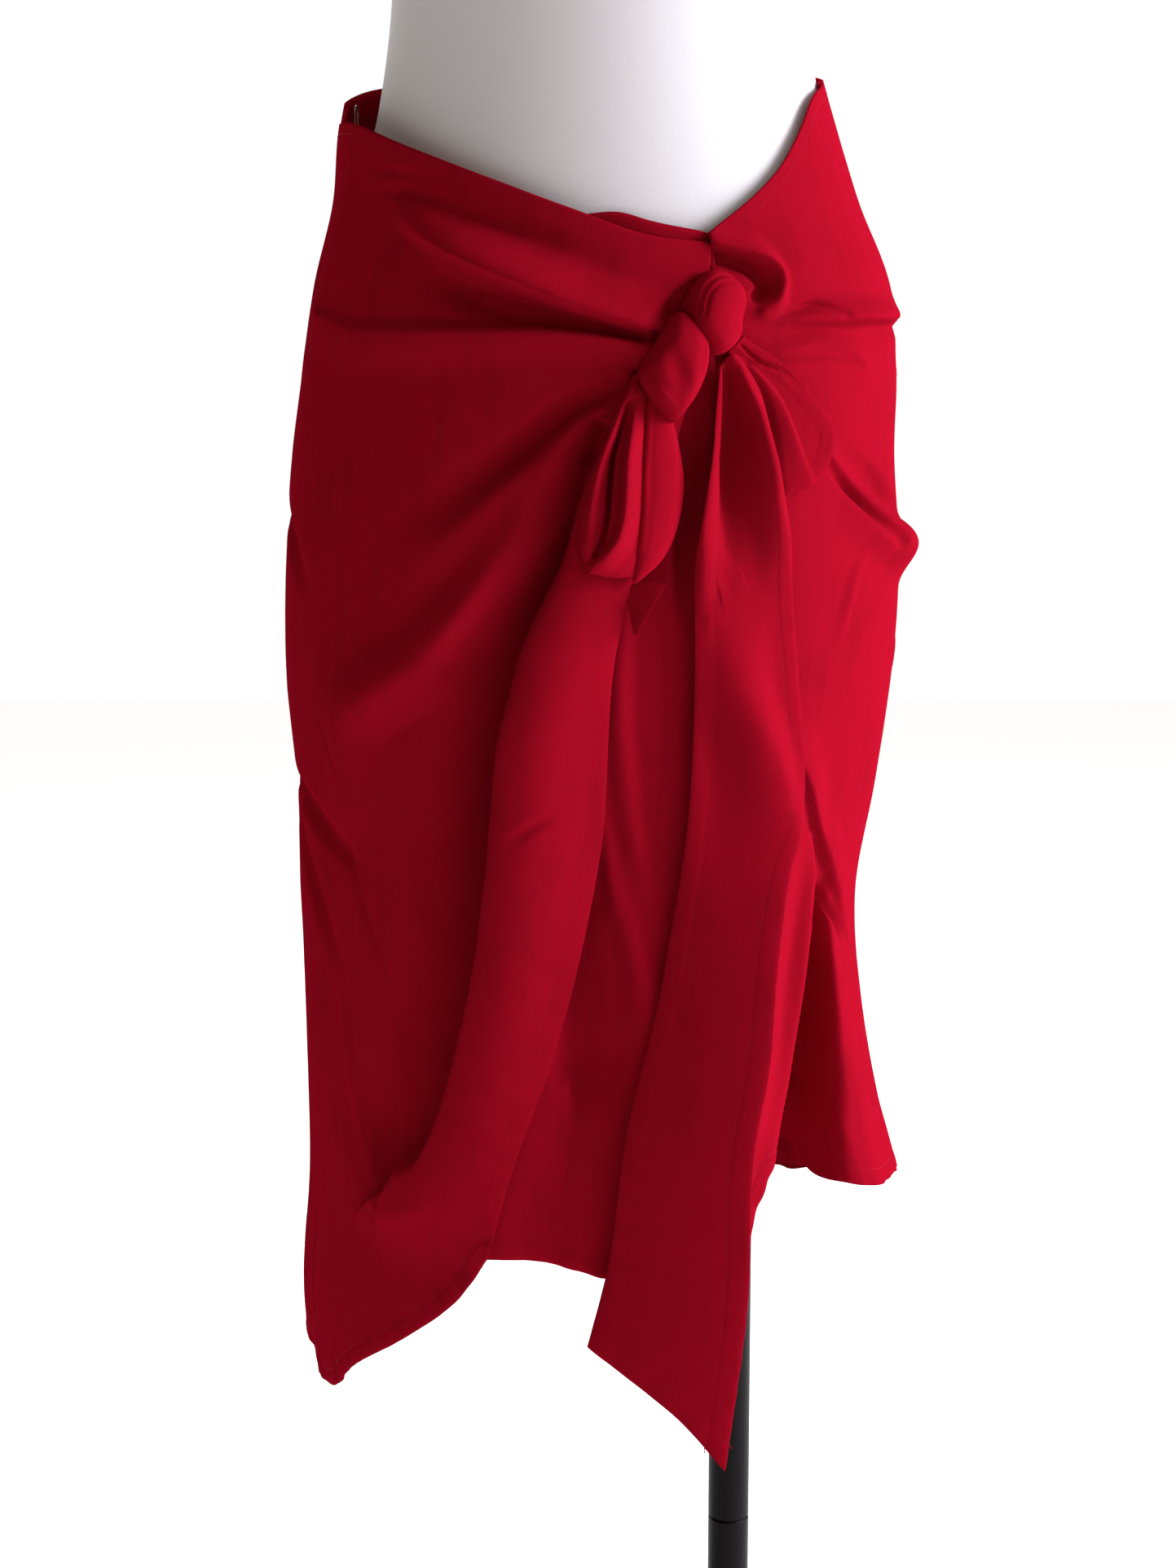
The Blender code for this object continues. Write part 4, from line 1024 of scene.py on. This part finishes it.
LOOP_OUTER_FOLDS = (
    ("outer_ridge", ((13, 858), (8, 849), (3.5, 836), (-0.5, 824), (-3.5, 808), (-5.5, 792), (-6.5, 779)),
     (5, 6), (4, 3), (3, 8, 3)),
    ("slot", ((11, 850), (7.5, 836), (4.5, 824), (3, 808), (2, 794), (0, 783), (-3, 775)),
     (1.4, 1.8), (1.4, 1.8), (-2, -9, -3)),
    ("inner_ridge", ((15, 854), (12.5, 836), (10.5, 824), (9.5, 808), (8.5, 794), (6, 783), (1, 775),
     (-4, 769)), (8, 9), (3, 3.4, 0.2), (2, 9, 5)),
)
LOOP_OUTER_SIDE = (
    (-6, 766.5, 19), (-9, 778, 19), (-9, 790, 18), (-7, 804, 17), (-1, 824, 15), (6, 845, 11), (14, 864, 9),
)
loop_outer = add_band(
    "loop_outer_leg",
    "tie_loop_outer",
    (
        ((-6, 766.5, 19), (3, 764, 20), (14, 764, 17)),
        ((14, 864, 9), (17, 865, 8), (22, 862, 7)),
        LOOP_OUTER_SIDE,
        ((14, 764, 17), (18, 784, 16), (20, 800, 15), (21, 816, 14), (21, 836, 11), (22, 862, 7)),
    ),
    counts=(70, 90),
    crown=5,
    squareness=(3.0, 5.0),
    folds=LOOP_OUTER_FOLDS,
    wrinkle=0.25,
    seed=4.4,
)

tip = add_band(
    "tip",
    "tie_tip",
    (
        ((14, 735, 11), (15, 735, 12), (16, 736, 13)),
        ((10, 759, 8), (19, 761, 13), (28, 761, 18)),
        ((14, 735, 11), (12, 747, 9), (10, 759, 8)),
        ((16, 736, 13), (21, 747, 16), (28, 761, 18)),
    ),
    counts=(24, 30),
    crown=0.8,
    squareness=(2.0, 4.0),
    folds=(),
    wrinkle=0.3,
    seed=5.5,
)

# %% [markdown]
# ## The dress form
#
# A tailor's form is a padded shell under a tight white jersey cover, smooth and a little matt. Its shape is
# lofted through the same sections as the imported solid, with more and rounder rings.

# %% The form
FORM_TURNS = 128
FORM_RINGS = 170
RIB_PER_METRE = 500.0


def make_jersey():
    """White cotton jersey; its real rib is about 1 mm, drawn at 2 mm so that it can be seen at all."""
    soft = {"Roughness": 0.8, "Sheen_Weight": 0.05, "Specular_IOR_Level": 0.15}
    material, tree, shader = start_material("form_jersey", Base_Color=hex_colour("D0CDCB"), **soft)
    place = add_node(tree, "ShaderNodeTexCoord").outputs["Object"]
    knit = add_node(tree, "ShaderNodeTexNoise", Vector=place, Scale=RIB_PER_METRE, Detail=1.0)
    bump = add_node(tree, "ShaderNodeBump", Height=knit.outputs[0], Strength=0.1, Distance=0.0005)
    tree.links.new(bump.outputs[0], shader.inputs["Normal"])
    return material


form_jersey = make_jersey()
bm = bmesh.new()
bmesh.ops.create_uvsphere(bm, u_segments=FORM_TURNS, v_segments=FORM_RINGS + 1, radius=1)
rows = np.array(FORM_SECTIONS, float)
ring_shares = np.linspace(0, 1, FORM_RINGS)
row_shares = np.linspace(0, 1, len(rows))
rings = np.stack([smooth(row_shares, column, ring_shares) for column in rows.T], axis=-1)
for corner in bm.verts:
    latitude = math.acos(max(-1.0, min(1.0, -corner.co.z))) / math.pi
    ring = round(latitude * (FORM_RINGS + 1)) - 1
    if not 0 <= ring < FORM_RINGS:
        corner.co = (0, 0, (rings[0] if ring < 0 else rings[-1])[0] * MM)
        continue
    up, left, right, front, back = rings[ring]
    turn = math.atan2(corner.co.x, -corner.co.y)
    across = (left if turn < 0 else right) * math.sin(turn)
    depth = -(front if abs(turn) < math.pi / 2 else back) * math.cos(turn)
    corner.co = (across * MM, depth * MM, up * MM)
form = finish_piece("form", bm, form_jersey)
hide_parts("form_torso")
print(f"form: {FORM_RINGS} rings, {rings[:, 0].min():.0f} to {rings[:, 0].max():.0f} mm up")

# %% [markdown]
# ## Cap, pole and base
#
# The turned solids are right as they are and only take better finishes: a pale moulded cap on the neck, a
# black powder-coated pole whose two sections meet below the hem, and a heavier, duller black on the base
# plate. Powder coat has a very fine orange-peel skin, drawn here about twice its real size.

# %% Finishes of the hard pieces
PEEL_PER_METRE = 900.0


def make_powder_coat(name, colour, roughness):
    """A sprayed and baked coat with its fine orange peel."""
    material, tree, shader = start_material(
        name, Base_Color=hex_colour(colour), Roughness=roughness, Specular_IOR_Level=0.08
    )
    place = add_node(tree, "ShaderNodeTexCoord").outputs["Object"]
    peel = add_node(tree, "ShaderNodeTexNoise", Vector=place, Scale=PEEL_PER_METRE, Detail=2.0)
    bump = add_node(tree, "ShaderNodeBump", Height=peel.outputs[0], Strength=0.08, Distance=0.0003)
    tree.links.new(bump.outputs[0], shader.inputs["Normal"])
    return material


pole_coat = make_powder_coat("pole_powder_coat", "0D0B0A", 0.4)
base_coat = make_powder_coat("base_powder_coat", "1E1E1E", 0.55)
cap_moulding, _, _ = start_material("cap_moulding", Base_Color=hex_colour("CFCBC6"), Roughness=0.45)
hook_wire, _, _ = start_material(
    "nickelled_wire", Base_Color=hex_colour("C9BFA0"), Roughness=0.28, Metallic=1.0
)

finishes = {
    "pole_upper": pole_coat,
    "pole_lower": pole_coat,
    "pole_socket": pole_coat,
    "base_collar": base_coat,
    "base_plate": base_coat,
    "form_neck_cap": cap_moulding,
    "hook_eye": hook_wire,
}
for name, material in finishes.items():
    for material_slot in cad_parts[name].material_slots:
        material_slot.material = material
print("finished:", ", ".join(finishes))

# %% [markdown]
# ## Floor
#
# A plain pale floor that only catches the shadow of the stand. It glows a little, as white paper does in a
# photograph that is lit this brightly, so that no horizon shows.

# %% Floor
FLOOR_HALF = 6.0  # metres
FLOOR_GLOW = 0.3
glow = {"Emission_Color": (*WHITE, 1), "Emission_Strength": FLOOR_GLOW}
floor_material, _, _ = start_material("pale_floor", Base_Color=hex_colour("FAFAF8"), Roughness=0.9, **glow)
bm = bmesh.new()
bmesh.ops.create_grid(bm, x_segments=1, y_segments=1, size=FLOOR_HALF)
floor_mesh = bpy.data.meshes.new("floor")
bm.to_mesh(floor_mesh)
bm.free()
floor_mesh.materials.append(floor_material)
floor = bpy.data.objects.new("floor", floor_mesh)
bpy.context.scene.collection.objects.link(floor)
print("floor:", 2 * FLOOR_HALF, "m square")
